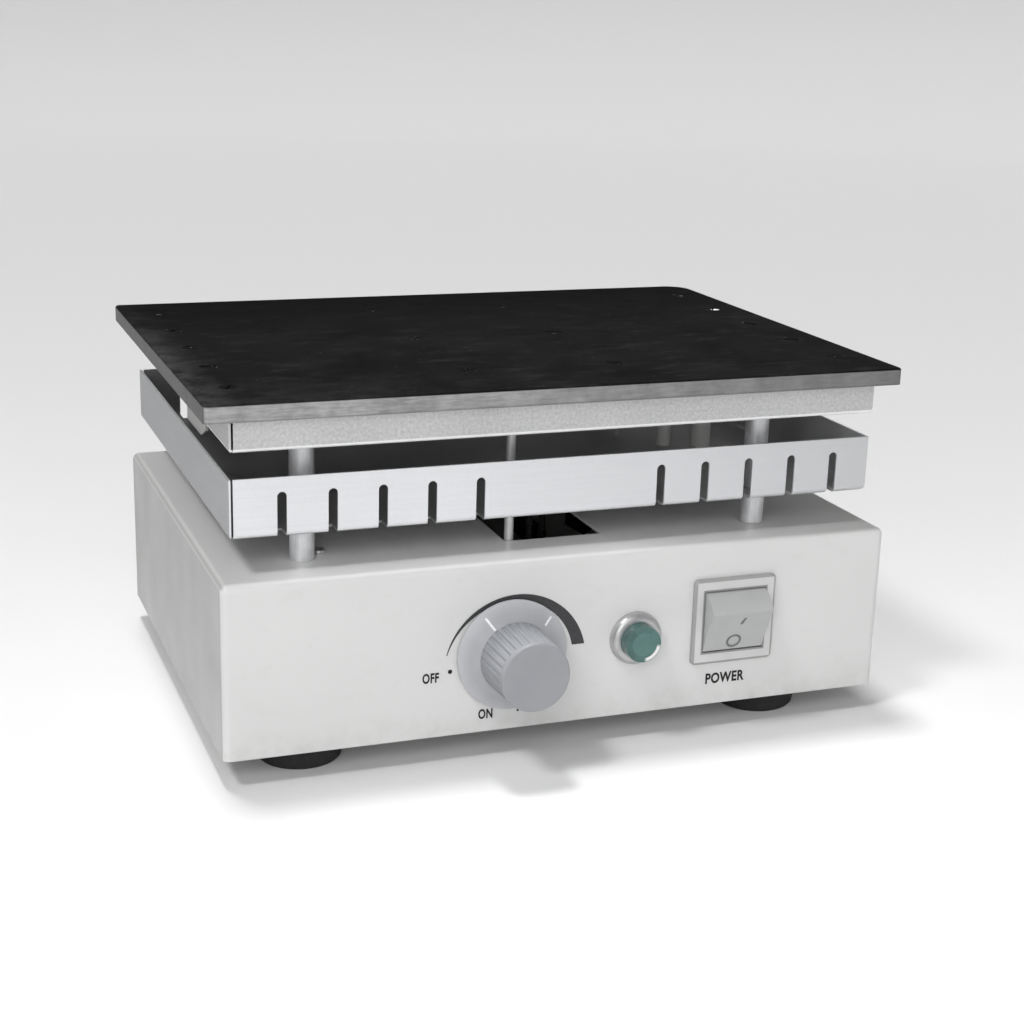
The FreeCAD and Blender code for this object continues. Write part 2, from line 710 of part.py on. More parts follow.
def make_bracket():
    x0, x1 = BRACKET_X, BRACKET_X + BRACKET_T
    y0, y1 = BRACKET_Y
    leaf = box(x0, x1, y0, y1, BRACKET_Z0, SKIRT_Z0)
    foot = box(x0, x0 + BRACKET_FOOT, y0, y1, SKIRT_Z0 - BRACKET_T, SKIRT_Z0)
    plate = leaf.fuse(foot).removeSplitter()
    low = Vector(x0 - 1, y0 - 1, BRACKET_Z0 - 1)
    along = low + Vector(0, BRACKET_NOSE_L + 1, 0)
    nose = Part.makePolygon([low, along, low + Vector(0, 0, BRACKET_NOSE_H + 1), low])
    return plate.cut(Part.Face(nose).extrude(Vector(BRACKET_T + 2, 0, 0)))


def make_earth_screw():
    x, y = EARTH_SCREW
    top = CASING_Z1 + EARTH_HEAD_H
    head = rod(x, y, CASING_Z1, top, EARTH_HEAD_R)
    head = round_edges(head, EARTH_HEAD_H / 2, lambda e: is_level_at(e, top))
    return head.fuse(rod(x, y, CASING_Z1 - EARTH_SCREW_L, CASING_Z1, EARTH_SCREW_R))


# Rotary control

def make_knob():
    axis = Vector(0, -1, 0)
    origin = Vector(KNOB_X, 0, KNOB_Z)
    back, nose = -KNOB_BACK, -KNOB_FRONT
    hub = back + KNOB_HUB_DEPTH
    seat = nose - KNOB_CAP_WALL
    soft = 0.3 * KNOB_EDGE
    profile = [(SHAFT_R, hub), (KNOB_HUB_R, hub), (KNOB_HUB_R, back), (KNOB_SKIRT_R - 0.5, back),
               (KNOB_SKIRT_R, back + 0.5), (KNOB_SKIRT_R, -KNOB_RIM), (KNOB_BASE_R, -KNOB_STEP),
               (KNOB_CAP_R, nose - KNOB_EDGE), (KNOB_CAP_R - soft, nose - soft),
               (KNOB_CAP_R - KNOB_EDGE, nose), (0.0, nose), (0.0, seat), (SHAFT_R, seat)]
    body = turned(profile, origin, axis)
    # Flutes that follow the cap's taper and stop short of its front
    taper = (KNOB_BASE_R - KNOB_CAP_R) / (KNOB_STEP - KNOB_FRONT)
    tip_r = KNOB_CAP_R + FLUTE_END * taper
    cuts = []
    for i in range(FLUTES):
        a = math.radians(360.0 / FLUTES * (i + 0.5))
        out = Vector(math.cos(a), 0, math.sin(a))
        foot = Vector(KNOB_X, KNOB_STEP - 0.4, KNOB_Z) + out * (KNOB_BASE_R + FLUTE_OUT)
        tip = Vector(KNOB_X, KNOB_FRONT + FLUTE_END, KNOB_Z) + out * (tip_r + FLUTE_OUT)
        cuts.append(Part.makeCylinder(FLUTE_R, (tip - foot).Length, foot, tip - foot))
    return body.cut(cuts)


def make_pot_shaft():
    return rod_y(KNOB_X, KNOB_Z, KNOB_FRONT + KNOB_CAP_WALL, PANEL_IN + SHAFT_IN, SHAFT_R)


def make_pot():
    body = rod_y(KNOB_X, KNOB_Z, PANEL_IN, PANEL_IN + POT_D, POT_R)
    bush = rod_y(KNOB_X, KNOB_Z, BUSH_FRONT, PANEL_IN, BUSH_R)
    low = KNOB_Z - POT_R
    tag_y = PANEL_IN + 3.0
    tag = box(KNOB_X - POT_TAG_W / 2, KNOB_X + POT_TAG_W / 2, tag_y, tag_y + POT_TAG_T, low - 7, low + 3)
    for x in (KNOB_X - POT_TAG_W / 4, KNOB_X + POT_TAG_W / 4):
        tag = tag.cut(box(x - 1.6, x + 1.6, tag_y - 1, tag_y + POT_TAG_T + 1, low - 8, low - 2))
    pot = body.fuse([bush, tag])
    return pot.cut(rod_y(KNOB_X, KNOB_Z, BUSH_FRONT - 1, PANEL_IN + SHAFT_IN + SLIP, SHAFT_R + SHAFT_GAP))


def make_pot_nut():
    nut = hexagon_y(KNOB_X, KNOB_Z, FRONT_Y - 2.6, FRONT_Y - 0.6, 11.0)
    washer = rod_y(KNOB_X, KNOB_Z, FRONT_Y - 0.6, FRONT_Y, 6.4)
    hole = rod_y(KNOB_X, KNOB_Z, FRONT_Y - 4, FRONT_Y + 1, BUSH_R + THREAD_GAP)
    return nut.fuse(washer).cut(hole)


# Pilot lamp

def make_lamp_ring():
    y1 = FRONT_Y - LAMP_RING_H
    ring = rod_y(LAMP_X, LAMP_Z, y1, FRONT_Y, LAMP_RING_R)
    ring = round_edges(ring, LAMP_RING_ROUND, lambda e: abs(e.BoundBox.YMax - y1) < 1e-6)
    return ring.cut([rod_y(LAMP_X, LAMP_Z, y1 - 1, FRONT_Y - LAMP_SEAT, LENS_R + HOLE_GAP),
                     rod_y(LAMP_X, LAMP_Z, FRONT_Y - 2, FRONT_Y + 1, LAMP_BARREL_R + HOLE_GAP)])


def make_lamp_lens():
    origin = Vector(LAMP_X, FRONT_Y, LAMP_Z)
    front = FRONT_Y - LENS_FRONT
    inner = LENS_R - LENS_WALL
    profile = [(inner, LAMP_SEAT), (LENS_R, LAMP_SEAT), (LENS_R, front), (0.0, front),
               (0.0, front - 2.0), (inner, front - 3.2)]
    lens = turned(profile, origin, Vector(0, -1, 0))
    for i in range(LENS_FACETS):
        facet = box(LENS_TABLE_R, LENS_R + 8, -8.0, 0.0, -8, 8)
        facet.rotate(Vector(LENS_TABLE_R, 0, 0), Vector(0, 0, 1), -LENS_SLOPE)
        facet.translate(Vector(LAMP_X, LENS_FRONT, LAMP_Z))
        facet.rotate(Vector(LAMP_X, LENS_FRONT, LAMP_Z), Vector(0, 1, 0), 360.0 / LENS_FACETS * i)
        lens = lens.cut(facet)
    return lens


def make_lamp_body():
    barrel = rod_y(LAMP_X, LAMP_Z, FRONT_Y - LAMP_SEAT, PANEL_IN + 20, LAMP_BARREL_R)
    pins = []
    for px in (LAMP_X - 4.0, LAMP_X + 4.0):
        pins.append(box(px - 1.4, px + 1.4, PANEL_IN + 20, PANEL_IN + 28, LAMP_Z - 0.4, LAMP_Z + 0.4))
    return barrel.fuse(pins)


def make_lamp_bulb():
    bulb = rod_y(LAMP_X, LAMP_Z, FRONT_Y - 4.6, FRONT_Y - LAMP_SEAT, 2.6)
    return round_edges(bulb, 1.6, lambda e: abs(e.BoundBox.YMax - (FRONT_Y - 4.6)) < 1e-6)


def make_lamp_nut():
    nut = hexagon_y(LAMP_X, LAMP_Z, PANEL_IN, PANEL_IN + 3.0, 20.0)
    return nut.cut(rod_y(LAMP_X, LAMP_Z, PANEL_IN - 1, PANEL_IN + 4, LAMP_BARREL_R + THREAD_GAP))


# Rocker switch

def make_switch_body():
    x, z = SWITCH_X, SWITCH_Z
    w, h = BEZEL_W / 2, BEZEL_H / 2
    bezel = box(x - w, x + w, FRONT_Y - BEZEL_T, FRONT_Y, z - h, z + h)
    bezel = round_edges(bezel, 2.0, is_along_y)
    front = [e for e in bezel.Edges if abs(e.BoundBox.YMax - (FRONT_Y - BEZEL_T)) < 1e-6]
    bezel = bezel.makeChamfer(0.7, front)
    w, h = HOUSING_W / 2, HOUSING_H / 2
    housing = box(x - w, x + w, FRONT_Y, HOUSING_BACK, z - h, z + h)
    well = box(x - WELL_W / 2, x + WELL_W / 2, FRONT_Y - 5, PIVOT_Y, z - WELL_H / 2, z + WELL_H / 2)
    drum = rod_x(PIVOT_Y, z, x - WELL_W / 2, x + WELL_W / 2, ROCKER_R + SLIP)
    drum = drum.cut(box(x - BEZEL_W, x + BEZEL_W, FRONT_Y - 2 * BEZEL_H, FRONT_Y - WELL_LIP,
                        z - BEZEL_H, z + BEZEL_H))
    trunnion = rod_x(PIVOT_Y, z, x - WELL_W / 2 - PIVOT_L, x + WELL_W / 2 + PIVOT_L, PIVOT_R + SHAFT_GAP)
    body = bezel.fuse(housing).cut([well, drum, trunnion])
    return body


def make_rocker():
    x, z = SWITCH_X, SWITCH_Z
    x0, x1 = x - ROCKER_W / 2, x + ROCKER_W / 2
    drum = rod_x(PIVOT_Y, z, x0, x1, ROCKER_R)
    drum = drum.cut(box(x0 - 1, x1 + 1, PIVOT_Y - 40, PIVOT_Y - ROCKER_FACE, z - 40, z + 40))
    drum = drum.cut(box(x0 - 1, x1 + 1, PIVOT_Y + 3.2, PIVOT_Y + 40, z - 40, z + 40))
    dish = rod_x(PIVOT_Y - ROCKER_FACE + ROCKER_DISH - ROCKER_DISH_R, z, x0 - 1, x1 + 1, ROCKER_DISH_R)
    drum = drum.cut(dish)
    hollow = box(x0 + 2, x1 - 2, PIVOT_Y - 3, PIVOT_Y + 6, z - 11, z - 3)
    drum = drum.cut([hollow, hollow.translated(Vector(0, 0, 14))])
    pins = rod_x(PIVOT_Y, z, x0 - PIVOT_L, x1 + PIVOT_L, PIVOT_R)
    rocker = drum.fuse(pins)
    rocker.rotate(Vector(x, PIVOT_Y, z), Vector(1, 0, 0), ROCKER_TILT)
    return rocker


def make_switch_tabs():
    solids = []
    for dx in (-7.0, 7.0):
        for dz in (-9.0, 0.0, 9.0):
            solids.append(box(SWITCH_X + dx - 3.1, SWITCH_X + dx + 3.1, HOUSING_BACK, HOUSING_BACK + 9,
                              SWITCH_Z + dz - 0.4, SWITCH_Z + dz + 0.4))
    return Part.makeCompound(solids)


# Control board and mains terminals inside the casing

def board_corners():
    inset = BOARD_HOLE_INSET
    return [(x, y) for x in (BOARD_X0 + inset, BOARD_X0 + BOARD_W - inset)
            for y in (BOARD_Y0 + inset, BOARD_Y0 + BOARD_D - inset)]


def make_board():
    sheet = box(BOARD_X0, BOARD_X0 + BOARD_W, BOARD_Y0, BOARD_Y0 + BOARD_D, BOARD_Z0, BOARD_Z1)
    return sheet.cut([rod(x, y, BOARD_Z0 - 1, BOARD_Z1 + 1, BOARD_HOLE_R) for x, y in board_corners()])


def make_standoffs():
    solids = []
    for x, y in board_corners():
        pillar = hexagon_z(x, y, COVER_Z1, BOARD_Z0, PILLAR_AF)
        solids.append(pillar.fuse(rod(x, y, BOARD_Z0, BOARD_Z1 + 1.5, BOARD_HOLE_R - 2 * HOLE_GAP)))
    return Part.makeCompound(solids)


def make_heat_sink():
    x0, y0 = BOARD_X0 + SINK_MARGIN[0], BOARD_Y0 + SINK_MARGIN[1]
    sink = box(x0, x0 + SINK_W, y0, y0 + SINK_T, BOARD_Z1, BOARD_Z1 + SINK_H)
    pitch = (SINK_W - 2 - SINK_FIN_T) / (SINK_FINS - 1)
    fins = []
    for i in range(SINK_FINS):
        x = x0 + 1 + i * pitch
        fins.append(box(x, x + SINK_FIN_T, y0 + SINK_T - 1, y0 + SINK_D, BOARD_Z1 + 2, BOARD_Z1 + SINK_H))
    return sink.fuse(fins)


def make_capacitor():
    x0, y0 = BOARD_X0 + CAP_PLACE[0], BOARD_Y0 + CAP_PLACE[1]
    film = box(x0, x0 + CAP_W, y0, y0 + CAP_D, BOARD_Z1, BOARD_Z1 + CAP_H)
    return round_edges(film, 1.0, is_upright)


def strip_way_x(way):
    return STRIP_X0 + STRIP_WALL / 2 + (way + 0.5) * STRIP_PITCH


def make_terminal_strip():
    top = COVER_Z1 + STRIP_H
    strip = box(STRIP_X0, STRIP_X0 + STRIP_W, STRIP_Y0, STRIP_Y0 + STRIP_D, COVER_Z1, top)
    walls = []
    for i in range(STRIP_WAYS + 1):
        x = STRIP_X0 + i * STRIP_PITCH
        walls.append(box(x, x + STRIP_WALL, STRIP_Y0, STRIP_Y0 + STRIP_D, top, top + STRIP_WALL_H))
    holes = []
    for i in range(STRIP_WAYS):
        x = strip_way_x(i)
        holes.append(rod_y(x, WIRE_HOLE_Z, STRIP_Y0 - 1, STRIP_Y0 + WIRE_HOLE_DEPTH, WIRE_R + SLIP))
    return strip.fuse(walls).cut(holes)


def make_terminal_screws():
    solids = []
    top = COVER_Z1 + STRIP_H
    for i in range(STRIP_WAYS):
        for y in (STRIP_Y0 + STRIP_SCREW_INSET, STRIP_Y0 + STRIP_D - STRIP_SCREW_INSET):
            solids.append(rod(strip_way_x(i), y, top, top + 2.5, STRIP_SCREW_R))
    return Part.makeCompound(solids)


# Rear cable gland and fuse holder

def make_gland_body():
    x, z = GLAND_X, REAR_Z
    flange = hexagon_y(x, z, BACK_Y, BACK_Y + 5, 22.0)
    thread = rod_y(x, z, BACK_IN - 9, BACK_Y, GLAND_THREAD_R)
    neck = rod_y(x, z, BACK_Y + 5, BACK_Y + 14, 7.8)
    return flange.fuse([thread, neck]).cut(rod_y(x, z, BACK_IN - 10, BACK_Y + 15, 5.0))


def make_gland_seal():
    ring = rod_y(GLAND_X, REAR_Z, BACK_Y + 14, BACK_Y + 22, 6.6)
    return ring.cut(rod_y(GLAND_X, REAR_Z, BACK_Y, BACK_Y + 30, 3.4))


def make_gland_dome():
    x, z = GLAND_X, REAR_Z
    profile = [(7.8 + THREAD_GAP, 7.0), (10.6, 7.0), (10.6, 18.0), (8.8, 24.0), (6.8, GLAND_L),
               (4.4, GLAND_L), (4.4, 22.0), (6.6 + THREAD_GAP, 22.0), (6.6 + THREAD_GAP, 14.0),
               (7.8 + THREAD_GAP, 14.0)]
    dome = turned(profile, Vector(x, BACK_Y, z), Vector(0, 1, 0))
    cuts = []
    for i in range(12):
        a = math.radians(30 * i)
        px, pz = x + 11.1 * math.cos(a), z + 11.1 * math.sin(a)
        cuts.append(rod_y(px, pz, BACK_Y + 6, BACK_Y + 17, 1.1))
    return dome.cut(cuts)


def make_gland_locknut():
    nut = hexagon_y(GLAND_X, REAR_Z, BACK_IN - 4, BACK_IN, 20.0)
    return nut.cut(rod_y(GLAND_X, REAR_Z, BACK_IN - 5, BACK_IN + 1, GLAND_THREAD_R + THREAD_GAP))


def make_fuse_holder():
    x, z = FUSE_X, REAR_Z
    flange = rod_y(x, z, BACK_Y, BACK_Y + 2.4, 8.6)
    barrel = rod_y(x, z, BACK_IN - 32, BACK_Y, FUSE_R)
    tab = box(x - 2.4, x + 2.4, BACK_IN - 40, BACK_IN - 32, z - 0.4, z + 0.4)
    return flange.fuse([barrel, tab]).cut(rod_y(x, z, BACK_IN - 25, BACK_Y + 4, 4.6))


def make_fuse_cap():
    x, z = FUSE_X, REAR_Z
    stem = rod_y(x, z, BACK_Y - 8, BACK_Y + 2.4, 4.5)
    head = rod_y(x, z, BACK_Y + 2.4, BACK_Y + 8.4, 6.6)
    head = round_edges(head, 0.8, lambda e: abs(e.BoundBox.YMin - (BACK_Y + 8.4)) < 1e-6)
    slot = box(x - 5, x + 5, BACK_Y + 7.2, BACK_Y + 9, z - 0.7, z + 0.7)
    return stem.fuse(head).cut(slot)


# Write one file for each piece

save("casing", make_casing())
save("bottom_cover", make_cover())
save("cover_screws", make_cover_screws())
for tag, ix, iy in (("fl", 0, 0), ("fr", 1, 0), ("bl", 0, 1), ("br", 1, 1)):
    save("foot_" + tag, make_foot(FOOT_X[ix], FOOT_Y[iy]))
save("foot_screws", make_foot_screws())

save("heat_shield_tray", make_tray())
save("plate_skirt", make_skirt())
save("hot_plate", make_plate())
save("plate_screws", make_plate_screws())
save("rim_nuts", make_rim_nuts())
save("base_sheet", make_base_sheet())
save("insulation_board", make_insulation())
save("clamp_sheet", make_clamp_sheet())
save("mica_heater", make_mica_heater())

for tag, ix, iy in (("fl", 0, 0), ("fr", 1, 0), ("bl", 0, 1), ("br", 1, 1)):
    px, py = POST_X[ix], POST_Y[iy]
    save("lower_post_" + tag, make_spacer(px, py, CASING_Z1, TRAY_Z0))
    save("upper_post_" + tag, make_spacer(px, py, TRAY_Z0 + TRAY_T, PLATE_Z0))
save("post_studs", make_studs())
save("stud_nuts", make_stud_nuts())
save("sensor_tube", make_sensor())
for name, lx, ly, lr, lb in LEAD_TUBES:
    save(name, make_lead_tube(lx, ly, lr, lb))
save("earth_post", rod(EARTH_POST[0], EARTH_POST[1], TRAY_Z0 + TRAY_T, BASE_Z0, EARTH_POST[2]))
for tube, route in zip(LEAD_TUBES, LEAD_ROUTES):
    name, drop_x, drop_y, level, way = route
    save(name, make_lead(tube[1], tube[2], drop_x, drop_y, level, way))
save("skirt_bracket", make_bracket())
save("earth_screw", make_earth_screw())

save("knob", make_knob())
save("pot_shaft", make_pot_shaft())
save("potentiometer", make_pot())
save("pot_nut", make_pot_nut())
save("lamp_ring", make_lamp_ring())
save("lamp_lens", make_lamp_lens())
save("lamp_body", make_lamp_body())
save("lamp_bulb", make_lamp_bulb())
save("lamp_nut", make_lamp_nut())
save("switch_body", make_switch_body())
save("switch_rocker", make_rocker())
save("switch_tabs", make_switch_tabs())

save("control_board", make_board())
save("board_standoffs", make_standoffs())
save("triac_heat_sink", make_heat_sink())
save("board_capacitor", make_capacitor())
save("terminal_strip", make_terminal_strip())
save("terminal_screws", make_terminal_screws())
save("gland_body", make_gland_body())
save("gland_seal", make_gland_seal())
save("gland_dome", make_gland_dome())
save("gland_locknut", make_gland_locknut())
save("fuse_holder", make_fuse_holder())
save("fuse_cap", make_fuse_cap())
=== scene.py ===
import json
import math

import bpy
from mathutils import Matrix, Vector


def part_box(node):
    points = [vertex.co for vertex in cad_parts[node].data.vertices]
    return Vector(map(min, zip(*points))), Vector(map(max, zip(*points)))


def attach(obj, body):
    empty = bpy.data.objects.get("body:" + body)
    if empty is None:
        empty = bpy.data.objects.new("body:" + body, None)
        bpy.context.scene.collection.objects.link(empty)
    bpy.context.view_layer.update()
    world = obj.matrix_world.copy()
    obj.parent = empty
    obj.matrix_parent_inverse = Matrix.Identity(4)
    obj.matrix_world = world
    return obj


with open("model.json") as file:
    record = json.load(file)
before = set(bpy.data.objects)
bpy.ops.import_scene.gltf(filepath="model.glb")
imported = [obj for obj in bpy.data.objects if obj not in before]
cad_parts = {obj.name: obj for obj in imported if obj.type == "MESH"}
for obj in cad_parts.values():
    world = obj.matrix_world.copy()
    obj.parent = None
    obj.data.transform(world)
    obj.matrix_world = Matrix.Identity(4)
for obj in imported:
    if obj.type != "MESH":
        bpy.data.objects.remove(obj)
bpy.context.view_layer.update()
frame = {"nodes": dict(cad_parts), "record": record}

MM = 0.001
X, Y, Z = 0, 1, 2


def box_mm(node):
    """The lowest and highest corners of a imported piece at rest, in millimetres."""
    return [[value / MM for value in corner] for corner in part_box(node)]


def centre_mm(node, axis):
    low, high = box_mm(node)
    return (low[axis] + high[axis]) / 2


# Places in millimetres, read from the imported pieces
casing_low, casing_high = box_mm("casing")
plate_low, plate_high = box_mm("hot_plate")
tray_low, tray_high = box_mm("heat_shield_tray")
bezel_low, bezel_high = box_mm("switch_body")
skirt_z = box_mm("plate_skirt")[0][Z]
panel_y = casing_low[Y]
knob_x, knob_z = centre_mm("knob", X), centre_mm("knob", Z)
lamp_x, lamp_z = centre_mm("lamp_ring", X), centre_mm("lamp_ring", Z)
bezel_x, bezel_z = centre_mm("switch_body", X), centre_mm("switch_body", Z)
rocker_x = centre_mm("switch_rocker", X)

# Measures in millimetres that the looks and the printing follow
KNOB_STEP_Y = panel_y - 5.8
WELL_W, WELL_H = 29.4, 28.0
LENS_TABLE_R = 5.2
LENS_FACETS = 10
# The point of the painted glint on one screw head
PAINTED_GLINT_SCREW = (138.45, 46.88)

# Numbers of the sockets that mix colours
MIX_FACTOR, MIX_A, MIX_B, MIX_RESULT = 0, 6, 7, 2


# Node trees

def scaled(tone, factor):
    return tuple(min(1.0, value * factor) for value in tone)


class Look:
    """One material: a principled shader with colour, roughness and relief worked out in object space."""

    def __init__(self, name, roughness, metallic=0.0, specular=0.5):
        self.material = bpy.data.materials.new(name)
        self.material.use_nodes = True
        self.tree = self.material.node_tree
        self.shader = self.tree.nodes["Principled BSDF"]
        self.set("Roughness", roughness)
        self.set("Metallic", metallic)
        self.set("Specular IOR Level", specular)
        self.place = self.tree.nodes.new("ShaderNodeTexCoord").outputs["Object"]

    def set(self, socket, value):
        self.shader.inputs[socket].default_value = value

    def link(self, source, target):
        self.tree.links.new(source, target)

    def feed(self, socket, value):
        self.link(value, self.shader.inputs[socket])

    def stretched(self, sx, sy, sz):
        node = self.tree.nodes.new("ShaderNodeMapping")
        node.inputs["Scale"].default_value = (sx, sy, sz)
        self.link(self.place, node.inputs["Vector"])
        return node.outputs["Vector"]

    def noise(self, size, detail=3.0, roughness=0.5, vector=None):
        """Noise with blotches of about a size in millimetres."""
        node = self.tree.nodes.new("ShaderNodeTexNoise")
        node.inputs["Scale"].default_value = 1.0 / (size * MM)
        node.inputs["Detail"].default_value = detail
        node.inputs["Roughness"].default_value = roughness
        self.link(vector or self.place, node.inputs["Vector"])
        return node.outputs["Fac"]

    def cells(self, size, feature="F1", vector=None):
        """Distance to the nearest point or edge of cells of about a size in millimetres."""
        node = self.tree.nodes.new("ShaderNodeTexVoronoi")
        node.feature = feature
        node.inputs["Scale"].default_value = 1.0 / (size * MM)
        self.link(vector or self.place, node.inputs["Vector"])
        return node.outputs["Distance"]

    def range(self, value, low, high, to_low=0.0, to_high=1.0):
        node = self.tree.nodes.new("ShaderNodeMapRange")
        node.inputs["From Min"].default_value = low
        node.inputs["From Max"].default_value = high
        node.inputs["To Min"].default_value = to_low
        node.inputs["To Max"].default_value = to_high
        self.link(value, node.inputs["Value"])
        return node.outputs["Result"]

    def math(self, operation, a, b=0.0):
        node = self.tree.nodes.new("ShaderNodeMath")
        node.operation = operation
        for socket, value in zip(node.inputs, (a, b)):
            if isinstance(value, (int, float)):
                socket.default_value = value
            else:
                self.link(value, socket)
        return node.outputs["Value"]

    def times(self, *values):
        product = values[0]
        for value in values[1:]:
            product = self.math("MULTIPLY", product, value)
        return product

    def plus(self, a, b):
        return self.math("ADD", a, b)

    def halves(self, a, b):
        return self.plus(self.times(a, 0.5), self.times(b, 0.5))

    def inverse(self, value):
        return self.math("SUBTRACT", 1.0, value)

    def length(self, a, b):
        return self.math("SQRT", self.plus(self.times(a, a), self.times(b, b)))

    def mix(self, factor, a, b):
        node = self.tree.nodes.new("ShaderNodeMix")
        node.data_type = "RGBA"
        for number, value in ((MIX_FACTOR, factor), (MIX_A, a), (MIX_B, b)):
            if isinstance(value, tuple):
                node.inputs[number].default_value = (*value, 1.0)
            else:
                self.link(value, node.inputs[number])
        return node.outputs[MIX_RESULT]

    def over(self, ground, tone, strength, *masks):
        """The ground with a tone laid over it where every mask is 1, at a strength from 0 to 1."""
        return self.mix(self.times(*masks, strength), ground, tone)

    def axis(self, name):
        node = self.tree.nodes.new("ShaderNodeSeparateXYZ")
        self.link(self.place, node.inputs["Vector"])
        return node.outputs[name]

    def offset(self, name, place):
        """How far a point lies along an axis from a place in millimetres."""
        return self.math("SUBTRACT", self.axis(name), place * MM)

    def ramp(self, name, start, end, to_start=0.0, to_end=1.0):
        """A value that runs from one number to another between two places in millimetres on an axis."""
        return self.range(self.axis(name), start * MM, end * MM, to_start, to_end)

    def within(self, name, low, high, soft):
        """1 where an axis lies between two places in millimetres, fading over a soft border outside them."""
        return self.times(self.ramp(name, low - soft, low), self.ramp(name, high + soft, high))

    def rounded(self, radius):
        """The surface's normal as if its edges had a radius in millimetres."""
        bevel = self.tree.nodes.new("ShaderNodeBevel")
        bevel.samples = 6
        bevel.inputs["Radius"].default_value = radius * MM
        return bevel.outputs["Normal"]

    def edges(self, radius):
        """About 1 on sharp edges and 0 on flat ground, from how far a rounded normal leans."""
        geometry = self.tree.nodes.new("ShaderNodeNewGeometry")
        dot = self.tree.nodes.new("ShaderNodeVectorMath")
        dot.operation = "DOT_PRODUCT"
        self.link(self.rounded(radius), dot.inputs[0])
        self.link(geometry.outputs["Normal"], dot.inputs[1])
        return self.range(dot.outputs["Value"], 0.995, 0.85)

    def colour(self, value):
        self.feed("Base Color", value)

    def roughness(self, value):
        self.feed("Roughness", value)

    def relief(self, *layers, rounding=0.0):
        """Bump layers, each a height and its depth in millimetres, over edges rounded a little."""
        normal = self.rounded(rounding) if rounding else None
        for height, depth in layers:
            bump = self.tree.nodes.new("ShaderNodeBump")
            bump.inputs["Strength"].default_value = 1.0
            bump.inputs["Distance"].default_value = depth * MM
            self.link(height, bump.inputs["Height"])
            if normal:
                self.link(normal, bump.inputs["Normal"])
            normal = bump.outputs["Normal"]
        self.feed("Normal", normal)


# Painted, plated and cast surfaces

def casing_enamel():
    """Off-white enamel, dusty and soiled low down; painted shade greys the left wall and its top edge and the
    top's ends, and painted light makes the middle of the top paler.
    """
    look = Look("casing_enamel", 0.38, 0.0, 0.45)
    broad = look.range(look.noise(90.0, 2.0), 0.3, 0.7)
    paint = look.mix(broad, (0.655, 0.658, 0.652), (0.695, 0.698, 0.692))
    dust = look.range(look.noise(14.0, 5.0, 0.62, look.stretched(1.0, 1.0, 2.2)), 0.58, 0.78)
    paint = look.over(paint, (0.57, 0.57, 0.56), 0.30, dust)
    smudge = look.range(look.noise(9.0, 4.0, 0.6), 0.42, 0.7)
    paint = look.over(paint, (0.44, 0.43, 0.41), 0.30, look.ramp("Z", 26.0, 12.0), smudge)
    # Painted shade greys the left wall; the streaks laid over it are darker still.
    left = look.ramp("X", casing_low[X] + 0.4, casing_low[X] + 0.1)
    paint = look.over(paint, (0.385, 0.39, 0.385), 0.9, left)
    streaks_and_shade = look.range(look.noise(16.0, 5.0, 0.7, look.stretched(1.0, 0.3, 1.0)), 0.50, 0.75)
    paint = look.over(paint, (0.36, 0.36, 0.355), 0.3, left, streaks_and_shade)
    # Painted light makes the middle of the top paler, and painted shade greys the top towards both ends.
    top = look.ramp("Z", casing_high[Z] - 1.2, casing_high[Z] - 0.2)
    left_end = look.ramp("X", -118.0, -149.0, 0.0, 0.3)
    right_end = look.ramp("X", 20.0, 130.0)
    ends = look.math("MAXIMUM", left_end, right_end)
    paint = look.over(paint, (0.90, 0.90, 0.895), 0.95, top, look.inverse(ends))
    paint = look.over(paint, (0.40, 0.40, 0.395), 0.75, top, ends)
    # Painted shade along the rounded edge where the top meets the left wall.
    painted_shade_ridge = look.times(look.ramp("X", casing_low[X] + 2.2, casing_low[X] + 0.8),
                       look.ramp("Z", casing_high[Z] - 2.2, casing_high[Z] - 0.8))
    paint = look.over(paint, (0.27, 0.27, 0.265), 0.7, painted_shade_ridge)
    chip = look.range(look.noise(2.2, 4.0, 0.7), 0.68, 0.72)
    look.colour(look.mix(look.times(look.edges(0.5), chip), paint, (0.38, 0.38, 0.37)))
    look.roughness(look.range(look.noise(30.0, 4.0), 0.3, 0.7, 0.30, 0.42))
    look.relief((look.noise(1.5, 2.0, 0.4), 0.020), (look.noise(26.0, 1.0), 0.05), rounding=0.35)
    return look.material


